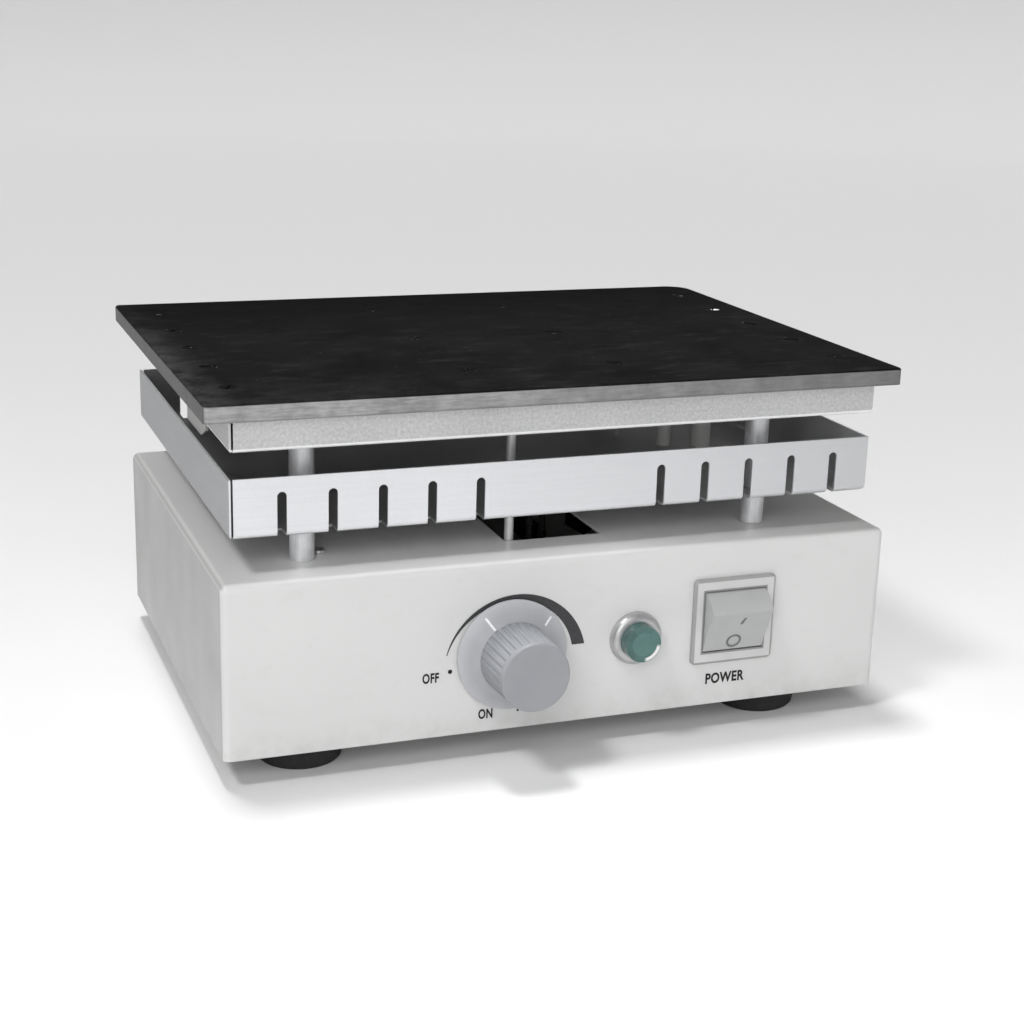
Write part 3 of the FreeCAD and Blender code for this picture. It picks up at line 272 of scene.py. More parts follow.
def sheet_metal(name, dark, light, roughness, metallic, speckle, streak, hem=None, inside=None):
    """Zinc-coated or stainless sheet: fine grains, faint level streaks and broad clouds, and if asked a
    painted highlight along the lower hem at a height and an inside of a given tone as painted shade."""
    look = Look(name, roughness, metallic)
    grains = look.noise(1.3, 3.0, 0.62)
    drawn = look.noise(1.1, 3.0, 0.6, look.stretched(0.02, 0.02, 1.0))
    clouds = look.noise(45.0, 2.0, 0.5)
    clouding = 0.3
    total = speckle + streak + clouding
    blend = look.plus(look.times(grains, speckle), look.times(drawn, streak))
    blend = look.plus(look.times(blend, 1.0 / total), look.times(clouds, clouding / total))
    base = look.mix(look.range(blend, 0.34, 0.66), dark, light)
    base = look.over(base, scaled(light, 1.18), 0.5, look.edges(0.45))
    if hem:
        # A painted highlight along the lower hem.
        base = look.over(base, (0.95, 0.95, 0.95), 0.9, look.ramp("Z", hem + 1.8, hem + 1.3))
    if inside:
        # Painted shade: the tray's sheet darkens to the right and on its left side.
        base = look.over(base, scaled(dark, 0.70), 0.75, look.ramp("X", -50.0, 150.0))
        left = look.ramp("X", tray_low[X] + 0.4, tray_low[X] + 0.1)
        base = look.over(base, scaled(dark, 0.46), 0.85, left)
        # Painted shade keeps the inside dark, and painted light makes it paler to the right.
        paler = look.times(look.ramp("X", -70.0, 130.0), look.range(clouds, 0.3, 0.7, 0.5, 1.0))
        painted_inside_tone = look.mix(paler, inside, scaled(inside, 2.8))
        core = look.times(look.within("X", tray_low[X] + 1.0, tray_high[X] - 1.0, 0.4),
                          look.within("Y", tray_low[Y] + 1.0, tray_high[Y] - 1.0, 0.4))
        base = look.over(base, painted_inside_tone, 0.97, core)
    look.colour(base)
    look.roughness(look.range(blend, 0.34, 0.66, roughness - 0.05, roughness + 0.08))
    look.relief((grains, 0.012), (drawn, 0.008), (clouds, 0.08), rounding=0.3)
    return look.material


def brushed(name, tone, roughness, along, metallic=0.85):
    """Plated or brushed steel, its grain drawn out along one axis."""
    look = Look(name, roughness, metallic)
    scale = {"X": (0.06, 1.0, 1.0), "Y": (1.0, 0.06, 1.0), "Z": (1.0, 1.0, 0.06)}[along]
    grain = look.noise(0.5, 4.0, 0.65, look.stretched(*scale))
    shade = look.halves(grain, look.noise(9.0, 3.0, 0.6))
    look.colour(look.mix(look.range(shade, 0.36, 0.66), scaled(tone, 0.80), scaled(tone, 1.14)))
    look.roughness(look.range(shade, 0.3, 0.7, roughness - 0.06, roughness + 0.1))
    look.relief((grain, 0.012), rounding=0.2)
    return look.material


def plate_coating():
    """Black heat-proof face with specks and rubs; the ground edge and underside stay bare metal. Painted
    shade darkens the face towards the back and the bare edge to the right and on the left.
    """
    look = Look("plate_coating", 0.6, 0.0, 0.03)
    cloud = look.range(look.noise(34.0, 4.0, 0.6), 0.3, 0.72)
    black = look.mix(cloud, (0.0015, 0.0015, 0.0017), (0.0120, 0.0120, 0.0125))
    rub = look.range(look.noise(7.0, 7.0, 0.78, look.stretched(0.35, 1.0, 1.0)), 0.52, 0.78)
    black = look.over(black, (0.036, 0.036, 0.037), 0.7, rub)
    grit = look.range(look.noise(1.1, 3.0, 0.7), 0.55, 0.80)
    black = look.over(black, (0.040, 0.040, 0.041), 0.45, grit)
    speck = look.range(look.cells(5.2), 0.10, 0.05)
    few = look.range(look.noise(17.0, 2.0), 0.56, 0.62)
    black = look.over(black, (0.09, 0.09, 0.09), 0.7, speck, few)
    # Paler in patches towards the left front.
    front = look.ramp("Y", plate_low[Y] + 50.0, plate_low[Y] + 4.0)
    left_front_patches = look.range(look.noise(20.0, 5.0, 0.7), 0.40, 0.75)
    black = look.over(black, (0.050, 0.050, 0.052), 0.6, front, look.ramp("X", -30.0, -140.0), left_front_patches)
    border = look.ramp("X", plate_low[X] + 16.0, plate_low[X] + 1.0)
    patches = look.range(look.noise(12.0, 5.0, 0.7), 0.35, 0.70)
    black = look.over(black, (0.075, 0.075, 0.077), 0.7, border, patches)
    # Painted shade: the black face darkens towards the back.
    black = look.over(black, (0.0006, 0.0006, 0.0007), 0.8, look.ramp("Y", 0.0, 110.0))
    ground = look.noise(0.8, 4.0, 0.7, look.stretched(0.08, 0.08, 1.0))
    shade = look.halves(ground, look.noise(11.0, 4.0, 0.62))
    bare = look.mix(look.range(shade, 0.36, 0.64), (0.24, 0.24, 0.24), (0.46, 0.46, 0.46))
    # Painted shade darkens the bare edge to the right and on its left side.
    bare = look.over(bare, (0.14, 0.14, 0.14), 0.7, look.ramp("X", -100.0, 150.0))
    side = look.ramp("X", plate_low[X] + 0.6, plate_low[X] + 0.2)
    bare = look.over(bare, (0.10, 0.10, 0.10), 0.80, side)
    lip = look.ramp("Z", plate_low[Z] + 0.9, plate_low[Z] + 0.4)
    bare = look.over(bare, (0.12, 0.12, 0.12), 0.4, lip)
    coated = look.ramp("Z", plate_high[Z] - 0.8, plate_high[Z] - 0.6)
    half_bare = look.times(look.inverse(coated), 0.5)
    look.colour(look.mix(coated, bare, black))
    look.feed("Metallic", half_bare)
    satin = look.range(cloud, 0.0, 1.0, 0.62, 0.78)
    look.roughness(look.plus(look.times(coated, satin), half_bare))
    look.relief((look.noise(1.3, 4.0, 0.6), 0.035), (ground, 0.012), rounding=0.35)
    return look.material


def sooted_screw():
    """Countersunk heads blackened like the plate, with bare spots on their edges and a painted glint on one
    head.
    """
    look = Look("plate_screw_steel", 0.7, 0.0, 0.035)
    soot = look.range(look.noise(1.5, 4.0, 0.65), 0.35, 0.7)
    base = look.mix(soot, (0.0025, 0.0025, 0.0025), (0.0060, 0.0060, 0.0060))
    spot = look.range(look.noise(3.4, 3.0, 0.6), 0.60, 0.66)
    base = look.mix(look.times(look.edges(0.35), spot), base, (0.45, 0.45, 0.45))
    # A painted highlight: one head is pale round a point, for a glint.
    reach = look.length(look.offset("X", PAINTED_GLINT_SCREW[X]), look.offset("Y", PAINTED_GLINT_SCREW[Y]))
    look.colour(look.mix(look.range(reach, 2.6 * MM, 1.6 * MM), base, (0.80, 0.80, 0.80)))
    look.roughness(look.range(look.noise(0.9, 3.0), 0.3, 0.7, 0.62, 0.78))
    look.relief((look.noise(0.8, 3.0), 0.012), rounding=0.15)
    return look.material


# Plastics, rubber and the rest

def moulded(name, tone, roughness, grain=0.9, depth=0.012, specular=0.5, shift=0.05, rounding=0.25):
    """Moulded plastic with a fine spark texture and faint shade changes."""
    look = Look(name, roughness, 0.0, specular)
    cloud = look.range(look.noise(12.0, 3.0), 0.3, 0.7)
    look.colour(look.mix(cloud, scaled(tone, 1.0 - shift), scaled(tone, 1.0 + shift)))
    look.roughness(look.range(look.noise(5.0, 4.0, 0.6), 0.3, 0.7, roughness - 0.05, roughness + 0.07))
    look.relief((look.noise(grain, 3.0, 0.6), depth), rounding=rounding)
    return look.material


def knob_plastic():
    """Satin grey knob; painted light makes its broad skirt lighter than the fluted cap and palest at the
    brim.
    """
    look = Look("knob_plastic", 0.40, 0.0, 0.45)
    cloud = look.range(look.noise(12.0, 3.0), 0.3, 0.7)
    cap = look.mix(cloud, (0.290, 0.298, 0.318), (0.318, 0.327, 0.348))
    # Painted light: the skirt is lighter than the cap, and a painted highlight makes it palest at the brim.
    skirt = look.mix(cloud, (0.372, 0.377, 0.400), (0.410, 0.415, 0.438))
    reach = look.length(look.offset("X", knob_x), look.offset("Z", knob_z))
    skirt = look.over(skirt, (0.53, 0.535, 0.56), 0.55, look.range(reach, 19.5 * MM, 24.0 * MM))
    look.colour(look.mix(look.ramp("Y", KNOB_STEP_Y - 0.4, KNOB_STEP_Y), cap, skirt))
    look.roughness(look.range(look.noise(5.0, 4.0, 0.6), 0.3, 0.7, 0.35, 0.47))
    look.relief((look.noise(0.7, 3.0, 0.6), 0.010), rounding=0.25)
    return look.material


def switch_frame():
    """The switch's bezel: panel-coloured, with painted shade round its rim and round the rocker."""
    look = Look("switch_plastic", 0.36, 0.0, 0.45)
    cloud = look.range(look.noise(12.0, 3.0), 0.3, 0.7)
    base = look.mix(cloud, (0.60, 0.605, 0.60), (0.64, 0.645, 0.64))
    half_w, half_h = WELL_W / 2 + 0.7, WELL_H / 2 + 0.7
    well = look.times(look.within("X", bezel_x - half_w, bezel_x + half_w, 0.25),
                      look.within("Z", bezel_z - half_h, bezel_z + half_h, 0.25))
    rim_w = 1.3
    field = look.times(look.within("X", bezel_low[X] + rim_w, bezel_high[X] - rim_w, 0.3),
                       look.within("Z", bezel_low[Z] + rim_w, bezel_high[Z] - rim_w, 0.3))
    # Painted shade round the bezel's rim and round the well of the rocker.
    painted_rim_shade = look.plus(look.times(well, 0.75), look.times(look.inverse(field), 0.62))
    look.colour(look.mix(painted_rim_shade, base, (0.16, 0.16, 0.16)))
    look.roughness(look.range(look.noise(5.0, 4.0, 0.6), 0.3, 0.7, 0.30, 0.42))
    look.relief((look.noise(1.0, 3.0, 0.6), 0.010), rounding=0.25)
    return look.material


def rubber():
    """Black foot rubber with dust on it."""
    look = Look("foot_rubber", 0.75, 0.0, 0.3)
    dust = look.range(look.noise(3.0, 5.0, 0.7), 0.5, 0.75)
    look.colour(look.mix(look.times(dust, 0.5), (0.024, 0.024, 0.024), (0.060, 0.058, 0.055)))
    look.relief((look.noise(0.7, 3.0), 0.03), rounding=0.3)
    return look.material


def green_lens():
    """Teal lens whose facets carry painted light and shade by their heading, with a painted highlight along
    the rim at its low right."""
    look = Look("lens_green", 0.08, 0.0, 0.5)
    swirl = look.range(look.noise(6.0, 2.0), 0.3, 0.7)
    table = look.mix(swirl, (0.070, 0.180, 0.165), (0.092, 0.220, 0.200))
    across, along = look.offset("X", lamp_x), look.offset("Z", lamp_z)
    reach = look.length(across, along)
    facet_angle = 2 * math.pi / LENS_FACETS
    # Painted light and shade on the facets: those turned to the right are lighter, and every other one
    # lighter again.
    number = look.math("ROUND", look.times(look.math("ARCTAN2", along, across), 1.0 / facet_angle))
    odd = look.math("PINGPONG", number, 1.0)
    bright = look.times(look.math("COSINE", look.times(number, facet_angle)), 0.32)
    bright = look.plus(look.plus(bright, 0.42), look.times(odd, 0.20))
    facet = look.mix(bright, (0.034, 0.108, 0.100), (0.086, 0.215, 0.196))
    slope = look.range(reach, LENS_TABLE_R * MM, (LENS_TABLE_R + 0.2) * MM, 0.06, 1.0)
    painted_facet_tone = look.mix(slope, table, facet)
    # A painted highlight: a white band along the rim at the lens's low right.
    lean = look.math("DIVIDE", look.math("SUBTRACT", across, along), reach)
    turned = look.range(lean, 1.06, 1.22)
    band = look.times(look.range(reach, 6.1 * MM, 6.4 * MM), look.range(reach, 7.9 * MM, 7.6 * MM))
    look.colour(look.mix(look.times(band, turned), painted_facet_tone, (1.0, 1.0, 1.0)))
    look.set("Transmission Weight", 0.2)
    look.set("IOR", 1.49)
    look.set("Coat Weight", 0.4)
    look.relief((look.noise(2.5, 1.0), 0.02), rounding=0.1)
    return look.material


def chrome(name, tone, roughness, metallic=1.0):
    """Polished plating under a thin film of handling marks."""
    look = Look(name, roughness, metallic)
    film = look.range(look.noise(3.0, 4.0, 0.6), 0.35, 0.7)
    look.colour(look.mix(film, tone, scaled(tone, 0.86)))
    look.roughness(look.range(look.noise(1.2, 3.0), 0.3, 0.7, roughness - 0.04, roughness + 0.08))
    look.relief((look.noise(0.8, 2.0), 0.004), rounding=0.15)
    return look.material


def clear_glass():
    look = Look("bulb_glass", 0.05)
    look.colour(look.mix(look.range(look.noise(2.0), 0.3, 0.7), (0.86, 0.88, 0.86), (0.93, 0.94, 0.92)))
    look.set("Transmission Weight", 0.8)
    look.relief((look.noise(1.5), 0.01))
    return look.material


def mineral(name, dark, light, grain):
    """Fibre board, pressed mica and unglazed ceramic."""
    look = Look(name, 0.85, 0.0, 0.3)
    fibre = look.noise(grain, 6.0, 0.7, look.stretched(1.0, 1.6, 1.0))
    look.colour(look.mix(look.range(fibre, 0.3, 0.7), dark, light))
    look.relief((fibre, 0.05), rounding=0.2)
    return look.material


def braid():
    """Dark woven sleeve of the heater leads."""
    look = Look("lead_sleeve", 0.8, 0.0, 0.3)
    weave = look.cells(0.9, vector=look.stretched(1.0, 1.0, 0.6))
    look.colour(look.mix(look.range(weave, 0.1, 0.6), (0.060, 0.060, 0.060), (0.022, 0.022, 0.022)))
    look.relief((weave, 0.12))
    return look.material


def board_mask():
    """Green solder mask, paler over the tracks."""
    look = Look("board_green", 0.3)
    tracks = look.range(look.cells(5.0, "DISTANCE_TO_EDGE"), 0.02, 0.10)
    look.colour(look.mix(tracks, (0.035, 0.16, 0.07), (0.012, 0.075, 0.035)))
    look.relief((tracks, 0.03), rounding=0.1)
    return look.material


def ink(name, tone):
    """Pad-printed ink, a little thinner in places."""
    look = Look(name, 0.5, 0.0, 0.3)
    patchy = look.range(look.noise(0.9, 4.0, 0.7), 0.45, 0.75)
    thin = tuple(value * 1.8 + 0.03 for value in tone)
    look.colour(look.mix(look.times(patchy, 0.35), tone, thin))
    look.relief((look.noise(0.6, 2.0), 0.01))
    return look.material


slot_looks = {
    "casing_paint": casing_enamel(),
    # The tray's inside tone is painted shade.
    "tray_steel": sheet_metal("tray_steel", (0.72, 0.73, 0.75), (0.79, 0.80, 0.82), 0.42, 0.35, 0.35, 0.5,
                              inside=(0.23, 0.23, 0.233)),
    "skirt_steel": sheet_metal("skirt_steel", (0.43, 0.43, 0.435), (0.64, 0.64, 0.645), 0.46, 0.35, 1.0, 0.15,
                               hem=skirt_z),
    "zinc_steel": sheet_metal("zinc_steel", (0.34, 0.34, 0.335), (0.46, 0.46, 0.45), 0.45, 0.5, 0.6, 0.3),
    "screw_steel": brushed("screw_steel", (0.62, 0.62, 0.60), 0.30, "Z"),
    "plate_screw_steel": sooted_screw(),
    "plate_iron": plate_coating(),
    "post_metal": brushed("post_metal", (0.70, 0.705, 0.72), 0.36, "Z", 0.5),
    "sensor_steel": brushed("sensor_steel", (0.70, 0.70, 0.705), 0.34, "Z", 0.5),
    "pot_metal": brushed("pot_metal", (0.55, 0.55, 0.55), 0.40, "X"),
    "foot_rubber": rubber(),
    "insulation": mineral("insulation", (0.62, 0.59, 0.50), (0.80, 0.78, 0.70), 1.6),
    "mica": mineral("mica", (0.38, 0.33, 0.24), (0.60, 0.55, 0.44), 4.0),
    "lead_ceramic": mineral("lead_ceramic", (0.84, 0.83, 0.81), (0.92, 0.91, 0.89), 0.8),
    "lead_sleeve": braid(),
    "knob_plastic": knob_plastic(),
    "chrome_ring": chrome("chrome_ring", (0.51, 0.51, 0.515), 0.34, 0.6),
    "lens_green": green_lens(),
    "bulb_glass": clear_glass(),
    "black_plastic": moulded("black_plastic", (0.018, 0.018, 0.019), 0.45, 1.1, 0.02, 0.4, 0.2),
    "switch_plastic": switch_frame(),
    "rocker_plastic": moulded("rocker_plastic", (0.445, 0.45, 0.45), 0.34, 1.2, 0.006, 0.5, 0.03, 0.0),
    "tab_brass": brushed("tab_brass", (0.62, 0.43, 0.16), 0.30, "Y"),
    "board_green": board_mask(),
    "capacitor_body": moulded("capacitor_body", (0.50, 0.40, 0.20), 0.35),
}

# Dress every carried-over node by its slot, with smooth shading across round faces only
SMOOTH_UP_TO = math.radians(28)
FACETED = {"lamp_lens": math.radians(12)}
for part in frame["record"]["subparts"]:
    node = frame["nodes"][part["node"]]
    node.data.materials.clear()
    node.data.materials.append(slot_looks[part["material_slot"]])
    node.data.shade_smooth()
    node.data.set_sharp_from_angle(angle=FACETED.get(part["node"], SMOOTH_UP_TO))


# Printing on the panel and on the moving pieces, in millimetres

PRINT_LIFT = 0.05
PRINT_DEPTH = 0.06


def add_object(name, data):
    """Put a mesh, text, lamp or camera into the scene."""
    made = bpy.data.objects.new(name, data)
    bpy.context.scene.collection.objects.link(made)
    return made


def mesh_piece(name, points, faces, material, body):
    """A mesh in millimetres, in the part's own frame, riding on one body."""
    mesh = bpy.data.meshes.new(name)
    mesh.from_pydata([Vector(p) * MM for p in points], [], faces)
    mesh.validate()
    mesh.materials.append(material)
    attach(add_object(name, mesh), body)


def slab(strips, place):
    """Printed strips as thin solids: each strip is a list of left and right points, placed by a function."""
    points, faces = [], []
    for strip in strips:
        base = len(points)
        for left, right in strip:
            for u, v in (left, right):
                points.append(place(u, v, PRINT_LIFT))
                points.append(place(u, v, PRINT_LIFT + PRINT_DEPTH))
        last = len(strip) - 1
        for i in range(last):
            a = base + 4 * i
            b = a + 4
            faces += [(a, b, b + 2, a + 2), (a + 1, a + 3, b + 3, b + 1)]
            faces += [(a, a + 1, b + 1, b), (a + 2, b + 2, b + 3, a + 3)]
        end = base + 4 * last
        faces += [(base, base + 2, base + 3, base + 1), (end, end + 1, end + 3, end + 2)]
    return points, faces


def on_panel(u, v, out):
    return (u, panel_y - out, v)


def arc_strip(cx, cz, outer, inner, a0, a1, steps, a1_inner=None):
    """A ring sector whose two radii run evenly from a first to a second value. Its inner edge may end at an
    angle of its own."""
    strip = []
    for i in range(steps + 1):
        s = i / steps
        pair = []
        for (r0, r1), last in ((inner, a1 if a1_inner is None else a1_inner), (outer, a1)):
            a = math.radians(a0 + (last - a0) * s)
            r = r0 + (r1 - r0) * s
            pair.append((cx + r * math.cos(a), cz + r * math.sin(a)))
        strip.append(tuple(pair))
    return strip


dark_ink = ink("dark_ink", (0.045, 0.045, 0.048))
black_ink = ink("black_ink", (0.012, 0.012, 0.012))
white_ink = ink("white_ink", (0.80, 0.80, 0.80))
grey_ink = ink("grey_ink", (0.16, 0.16, 0.165))

# Heat wedge round the knob, a hairline at the low end and 5.5 mm wide at full heat, cut off level there
WEDGE_CENTRE = (-25.0, 40.2)
WEDGE_OUTER = (32.1, 31.5)
WEDGE_INNER = (31.75, 25.9)
WEDGE_START = 166.0
WEDGE_ENDS = (12.5, 15.3)
WEDGE_STEPS = 72
wedge = arc_strip(*WEDGE_CENTRE, WEDGE_OUTER, WEDGE_INNER, WEDGE_START, WEDGE_ENDS[0], WEDGE_STEPS,
                  WEDGE_ENDS[1])
mesh_piece("heat_wedge", *slab([wedge], on_panel), dark_ink, "base")

# The dots that the knob's line points at when off and when first on: x, z, radius
STOP_DOTS = [(-54.4, 40.7, 0.95), (-23.7, 20.0, 0.6)]
DOT_HOLE_R = 0.01
dots = [arc_strip(x, z, (r, r), (DOT_HOLE_R, DOT_HOLE_R), 0.0, 360.0, 24) for x, z, r in STOP_DOTS]
mesh_piece("stop_dots", *slab(dots, on_panel), black_ink, "base")

# Words in plain lettering: centre x and z, width, height
WORDS = {
    "off_word": ("OFF", -62.8, 38.7, 7.2, 4.5),
    "on_word": ("ON", -38.3, 20.0, 6.4, 4.5),
    "power_word": ("POWER", 74.1, 24.0, 19.0, 5.0),
}
STROKE_GAIN = 0.034
LETTER_SPACING = 1.08


def panel_word(name, text, x, z, width, height):
    """A word as a thin solid, fitted to a width and height round its centre on the panel."""
    curve = bpy.data.curves.new(name, "FONT")
    curve.body = text
    curve.align_x = "CENTER"
    curve.align_y = "CENTER"
    curve.extrude = PRINT_DEPTH / 2
    curve.offset = STROKE_GAIN
    curve.space_character = LETTER_SPACING
    holder = add_object(name + "_curve", curve)
    bpy.context.view_layer.update()
    mesh = bpy.data.meshes.new_from_object(holder)
    bpy.data.objects.remove(holder)
    low = [min(v.co[i] for v in mesh.vertices) for i in (0, 1)]
    high = [max(v.co[i] for v in mesh.vertices) for i in (0, 1)]
    for v in mesh.vertices:
        u = ((v.co.x - low[0]) / (high[0] - low[0]) - 0.5) * width
        w = ((v.co.y - low[1]) / (high[1] - low[1]) - 0.5) * height
        out = PRINT_LIFT + PRINT_DEPTH / 2 + v.co.z
        v.co = Vector((x + u, panel_y - out, z + w)) * MM
    mesh.name = name
    mesh.materials.clear()
    mesh.materials.append(black_ink)
    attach(add_object(name, mesh), "base")


for name, word in WORDS.items():
    panel_word(name, *word)

# White index lines on the knob's sloping skirt: angle, inner and outer radius
KNOB_LINES = [(126.0, 15.9, 22.0), (43.7, 18.2, 22.7)]
KNOB_LINE_W = 1.0
KNOB_LINE_STEPS = 6
KNOB_SLOPE_IN = (15.7, KNOB_STEP_Y)
KNOB_SLOPE_OUT = (24.2, panel_y - 2.4)


def on_knob_skirt(u, v, out):
    r = math.hypot(u, v)
    s = (r - KNOB_SLOPE_IN[0]) / (KNOB_SLOPE_OUT[0] - KNOB_SLOPE_IN[0])
    y = KNOB_SLOPE_IN[1] + s * (KNOB_SLOPE_OUT[1] - KNOB_SLOPE_IN[1])
    return (knob_x + u, y - out, knob_z + v)


def radial_strip(angle, r0, r1, width):
    a = math.radians(angle)
    along = Vector((math.cos(a), math.sin(a)))
    across = Vector((-math.sin(a), math.cos(a)))
    strip = []
    for i in range(KNOB_LINE_STEPS + 1):
        r = r0 + (r1 - r0) * i / KNOB_LINE_STEPS
        left, right = along * r + across * width / 2, along * r - across * width / 2
        strip.append((tuple(left), tuple(right)))
    return strip


lines = [radial_strip(angle, r0, r1, KNOB_LINE_W) for angle, r0, r1 in KNOB_LINES]
mesh_piece("knob_lines", *slab(lines, on_knob_skirt), white_ink, "knob")

# On and off marks on the rocker's dished face, tilted with it
ROCKER_PIVOT = Vector((rocker_x, panel_y + 2.0, 51.3))
ROCKER_FACE = 9.4
ROCKER_DISH = 0.7
ROCKER_DISH_R = 100.0
ROCKER_TILT = math.radians(24.0)
BAR_FOOT = (0.10, 3.7)
BAR_W = 1.3
BAR_STEP = (0.25, 0.75)
BAR_ROWS = 6
RING_CENTRE = (-0.5, -5.9)
RING_OUTER_R = 3.6
RING_INNER_R = 2.5


def on_rocker(u, v, out):
    sunk = ROCKER_DISH - (ROCKER_DISH_R - math.sqrt(ROCKER_DISH_R ** 2 - v * v))
    flat = Vector((u, -(ROCKER_FACE - sunk) - out, v))
    return tuple(ROCKER_PIVOT + Matrix.Rotation(ROCKER_TILT, 3, "X") @ flat)


bar = []
for i in range(BAR_ROWS):
    u, v = BAR_FOOT[0] + BAR_STEP[0] * i, BAR_FOOT[1] + BAR_STEP[1] * i
    bar.append(((u, v), (u + BAR_W, v)))
ring = arc_strip(*RING_CENTRE, (RING_OUTER_R, RING_OUTER_R), (RING_INNER_R, RING_INNER_R), 0.0, 360.0, 48)
mesh_piece("rocker_marks", *slab([bar, ring], on_rocker), grey_ink, "rocker")


# Floor, light and camera, in metres

FLOOR_R = 3.0
FLOOR_RINGS = 6
FLOOR_SIDES = 96
RIM_R = 1.2
RIM_RINGS = 10
RIM_TURN = 75.0
FADE_HEADING = (0.355, 0.935)
FADE_START = 0.07
FADE_LENGTH = 0.45
FLOOR_TONE = 0.72
FLOOR_TONE_FAR = 0.545
FLOOR_TONE_LEFT = 0.34
FLOOR_GLOW = 0.04
FLOOR_GLOW_LEFT = 0.53
FLOOR_GLOW_FADE = 0.6
ROOM_DIM = 0.08
ROOM_BRIGHT = 0.28
WHITE = (1.0, 1.0, 1.0, 1.0)


def floor_look():
    """Pale ground whose colour darkens with distance behind the part, as painted shade. Camera and gloss also
    see a glow in it, and left of the part that glow stands in for reflectance, so little light is thrown back
    from there."""
    look = Look("floor", 0.9, 0.0, 0.05)
    dim = look.ramp("X", -160.0, -320.0)
    away = look.plus(look.times(look.axis("X"), FADE_HEADING[X]),
                     look.times(look.axis("Y"), FADE_HEADING[Y]))
    paces = look.math("MAXIMUM", look.math("DIVIDE", look.plus(away, FADE_START), FADE_LENGTH), 0.0)
    far = look.inverse(look.math("POWER", math.e, look.times(paces, -1.0)))
    tone = look.mix(far, (FLOOR_TONE,) * 3, (FLOOR_TONE_FAR,) * 3)
    look.colour(look.mix(dim, tone, (FLOOR_TONE_LEFT,) * 3))
    path = look.tree.nodes.new("ShaderNodeLightPath")
    mirrored = look.math("MAXIMUM", path.outputs["Is Glossy Ray"], path.outputs["Is Transmission Ray"])
    seen = look.math("MAXIMUM", path.outputs["Is Camera Ray"], mirrored)
    glow = look.times(look.range(dim, 0.0, 1.0, FLOOR_GLOW, FLOOR_GLOW_LEFT),
                      look.range(far, 0.0, 1.0, 1.0, FLOOR_GLOW_FADE))
    look.set("Emission Color", WHITE)
    look.feed("Emission Strength", look.times(seen, glow))
    return look.material


def stage_floor():
    """A round floor whose rim curves up far away."""
    profile = [(FLOOR_R * k / FLOOR_RINGS, 0.0) for k in range(1, FLOOR_RINGS + 1)]
    for k in range(1, RIM_RINGS + 1):
        a = math.radians(RIM_TURN * k / RIM_RINGS)
        profile.append((FLOOR_R + RIM_R * math.sin(a), RIM_R * (1.0 - math.cos(a))))
    points, faces = [(0.0, 0.0, 0.0)], []
    for r, z in profile:
        for k in range(FLOOR_SIDES):
            a = 2 * math.pi * k / FLOOR_SIDES
            points.append((r * math.cos(a), r * math.sin(a), z))
    for k in range(FLOOR_SIDES):
        n = (k + 1) % FLOOR_SIDES
        faces.append((0, 1 + k, 1 + n))
        for inner in range(len(profile) - 1):
            a = 1 + inner * FLOOR_SIDES
            b = a + FLOOR_SIDES
            faces.append((a + k, b + k, b + n, a + n))
    mesh = bpy.data.meshes.new("floor")
    mesh.from_pydata(points, [], faces)
    mesh.materials.append(floor_look())
    mesh.shade_smooth()
    add_object("floor", mesh)


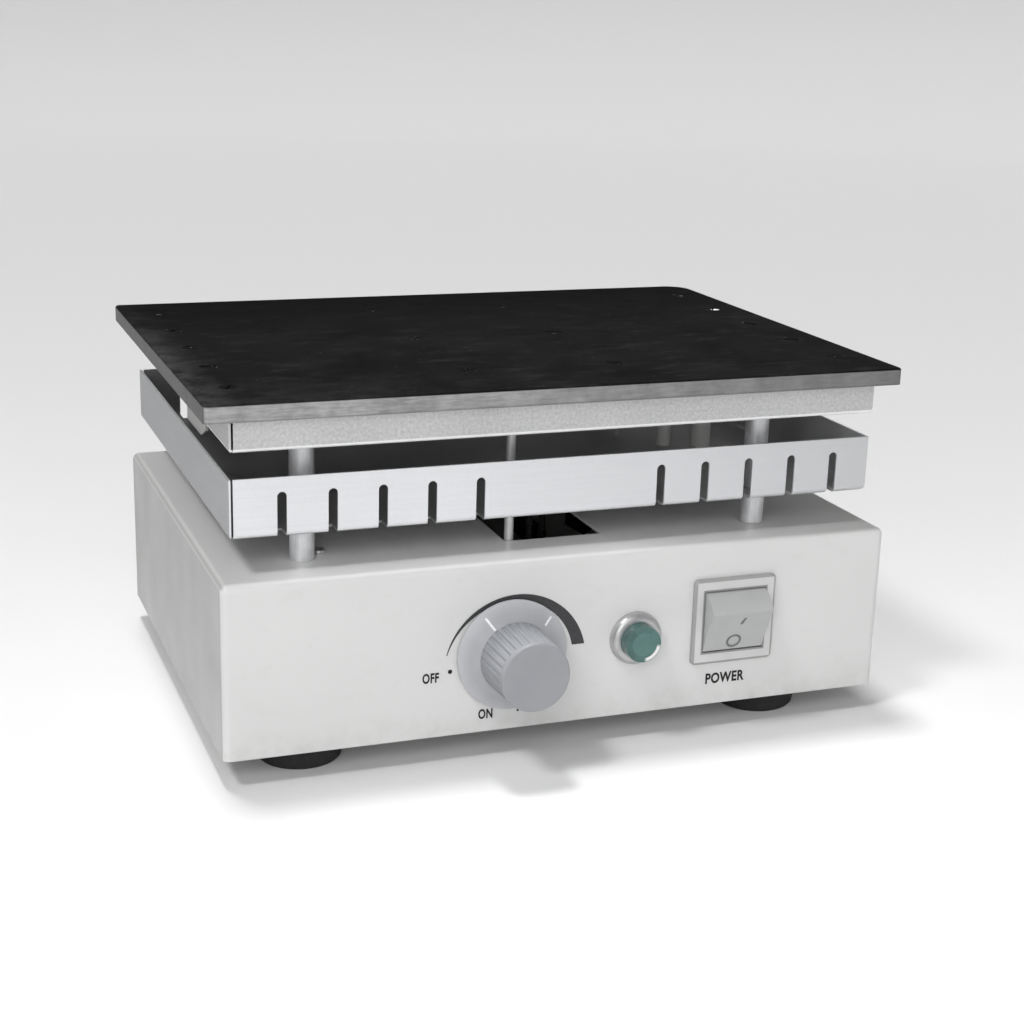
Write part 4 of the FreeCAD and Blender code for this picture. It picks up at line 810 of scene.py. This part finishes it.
def soft_world():
    """Even room light, dimmer towards the left of the part."""
    world = bpy.data.worlds.new("room")
    world.use_nodes = True
    tree = world.node_tree
    background = tree.nodes["Background"]
    place = tree.nodes.new("ShaderNodeTexCoord")
    split = tree.nodes.new("ShaderNodeSeparateXYZ")
    tree.links.new(place.outputs["Generated"], split.inputs["Vector"])
    fade = tree.nodes.new("ShaderNodeMapRange")
    fade.interpolation_type = "SMOOTHSTEP"
    fade.inputs["From Min"].default_value = -1.0
    fade.inputs["From Max"].default_value = 0.7
    fade.inputs["To Min"].default_value = ROOM_DIM
    fade.inputs["To Max"].default_value = ROOM_BRIGHT
    tree.links.new(split.outputs["X"], fade.inputs["Value"])
    tree.links.new(fade.outputs["Result"], background.inputs["Strength"])
    background.inputs["Color"].default_value = WHITE
    bpy.context.scene.world = world


def broad_light(name, azimuth, elevation, spread, strength):
    """A distant soft light; azimuth counts from the front to the right, spread is its width in degrees."""
    a, e = math.radians(azimuth), math.radians(elevation)
    away = Vector((math.sin(a) * math.cos(e), -math.cos(a) * math.cos(e), math.sin(e)))
    data = bpy.data.lights.new(name, "SUN")
    data.angle = math.radians(spread)
    data.energy = strength
    lamp = add_object(name, data)
    lamp.location = away * 2.0
    lamp.rotation_euler = away.to_track_quat("Z", "Y").to_euler()


def softbox(name, location, target, size, power):
    """A square lamp near the part, aimed at a point."""
    data = bpy.data.lights.new(name, "AREA")
    data.shape = "SQUARE"
    data.size = size
    data.energy = power
    lamp = add_object(name, data)
    lamp.location = location
    lamp.rotation_euler = (Vector(target) - Vector(location)).to_track_quat("-Z", "Y").to_euler()


stage_floor()
soft_world()
broad_light("key_light", -12.0, 42.0, 24.0, 0.40)
broad_light("side_light", -70.0, 58.0, 12.0, 1.2)
broad_light("top_light", -166.0, 79.0, 9.0, 1.9)
softbox("near_light", (-0.48, -0.85, 0.42), (-0.08, -0.11, 0.06), 0.5, 3.0)

# The photograph's viewpoint: heading, tilt and roll in degrees
CAMERA_AT = Vector((-278.9, -767.0, 315.6)) * MM
CAMERA_HEADING = 20.81
CAMERA_TILT = 16.43
CAMERA_ROLL = 1.61
SENSOR = 36.0
LENS = 62.91

camera_data = bpy.data.cameras.new("camera")
camera_data.sensor_width = SENSOR
camera_data.lens = LENS
camera_data.clip_start = 0.01
camera_data.clip_end = 50.0
camera = add_object("camera", camera_data)
turn = Matrix.Rotation(-math.radians(CAMERA_HEADING), 4, "Z")
turn = turn @ Matrix.Rotation(math.radians(90.0 - CAMERA_TILT), 4, "X")
turn = turn @ Matrix.Rotation(math.radians(CAMERA_ROLL), 4, "Z")
camera.matrix_world = Matrix.Translation(CAMERA_AT) @ turn
bpy.context.scene.camera = camera

bpy.context.scene.view_settings.view_transform = "Standard"
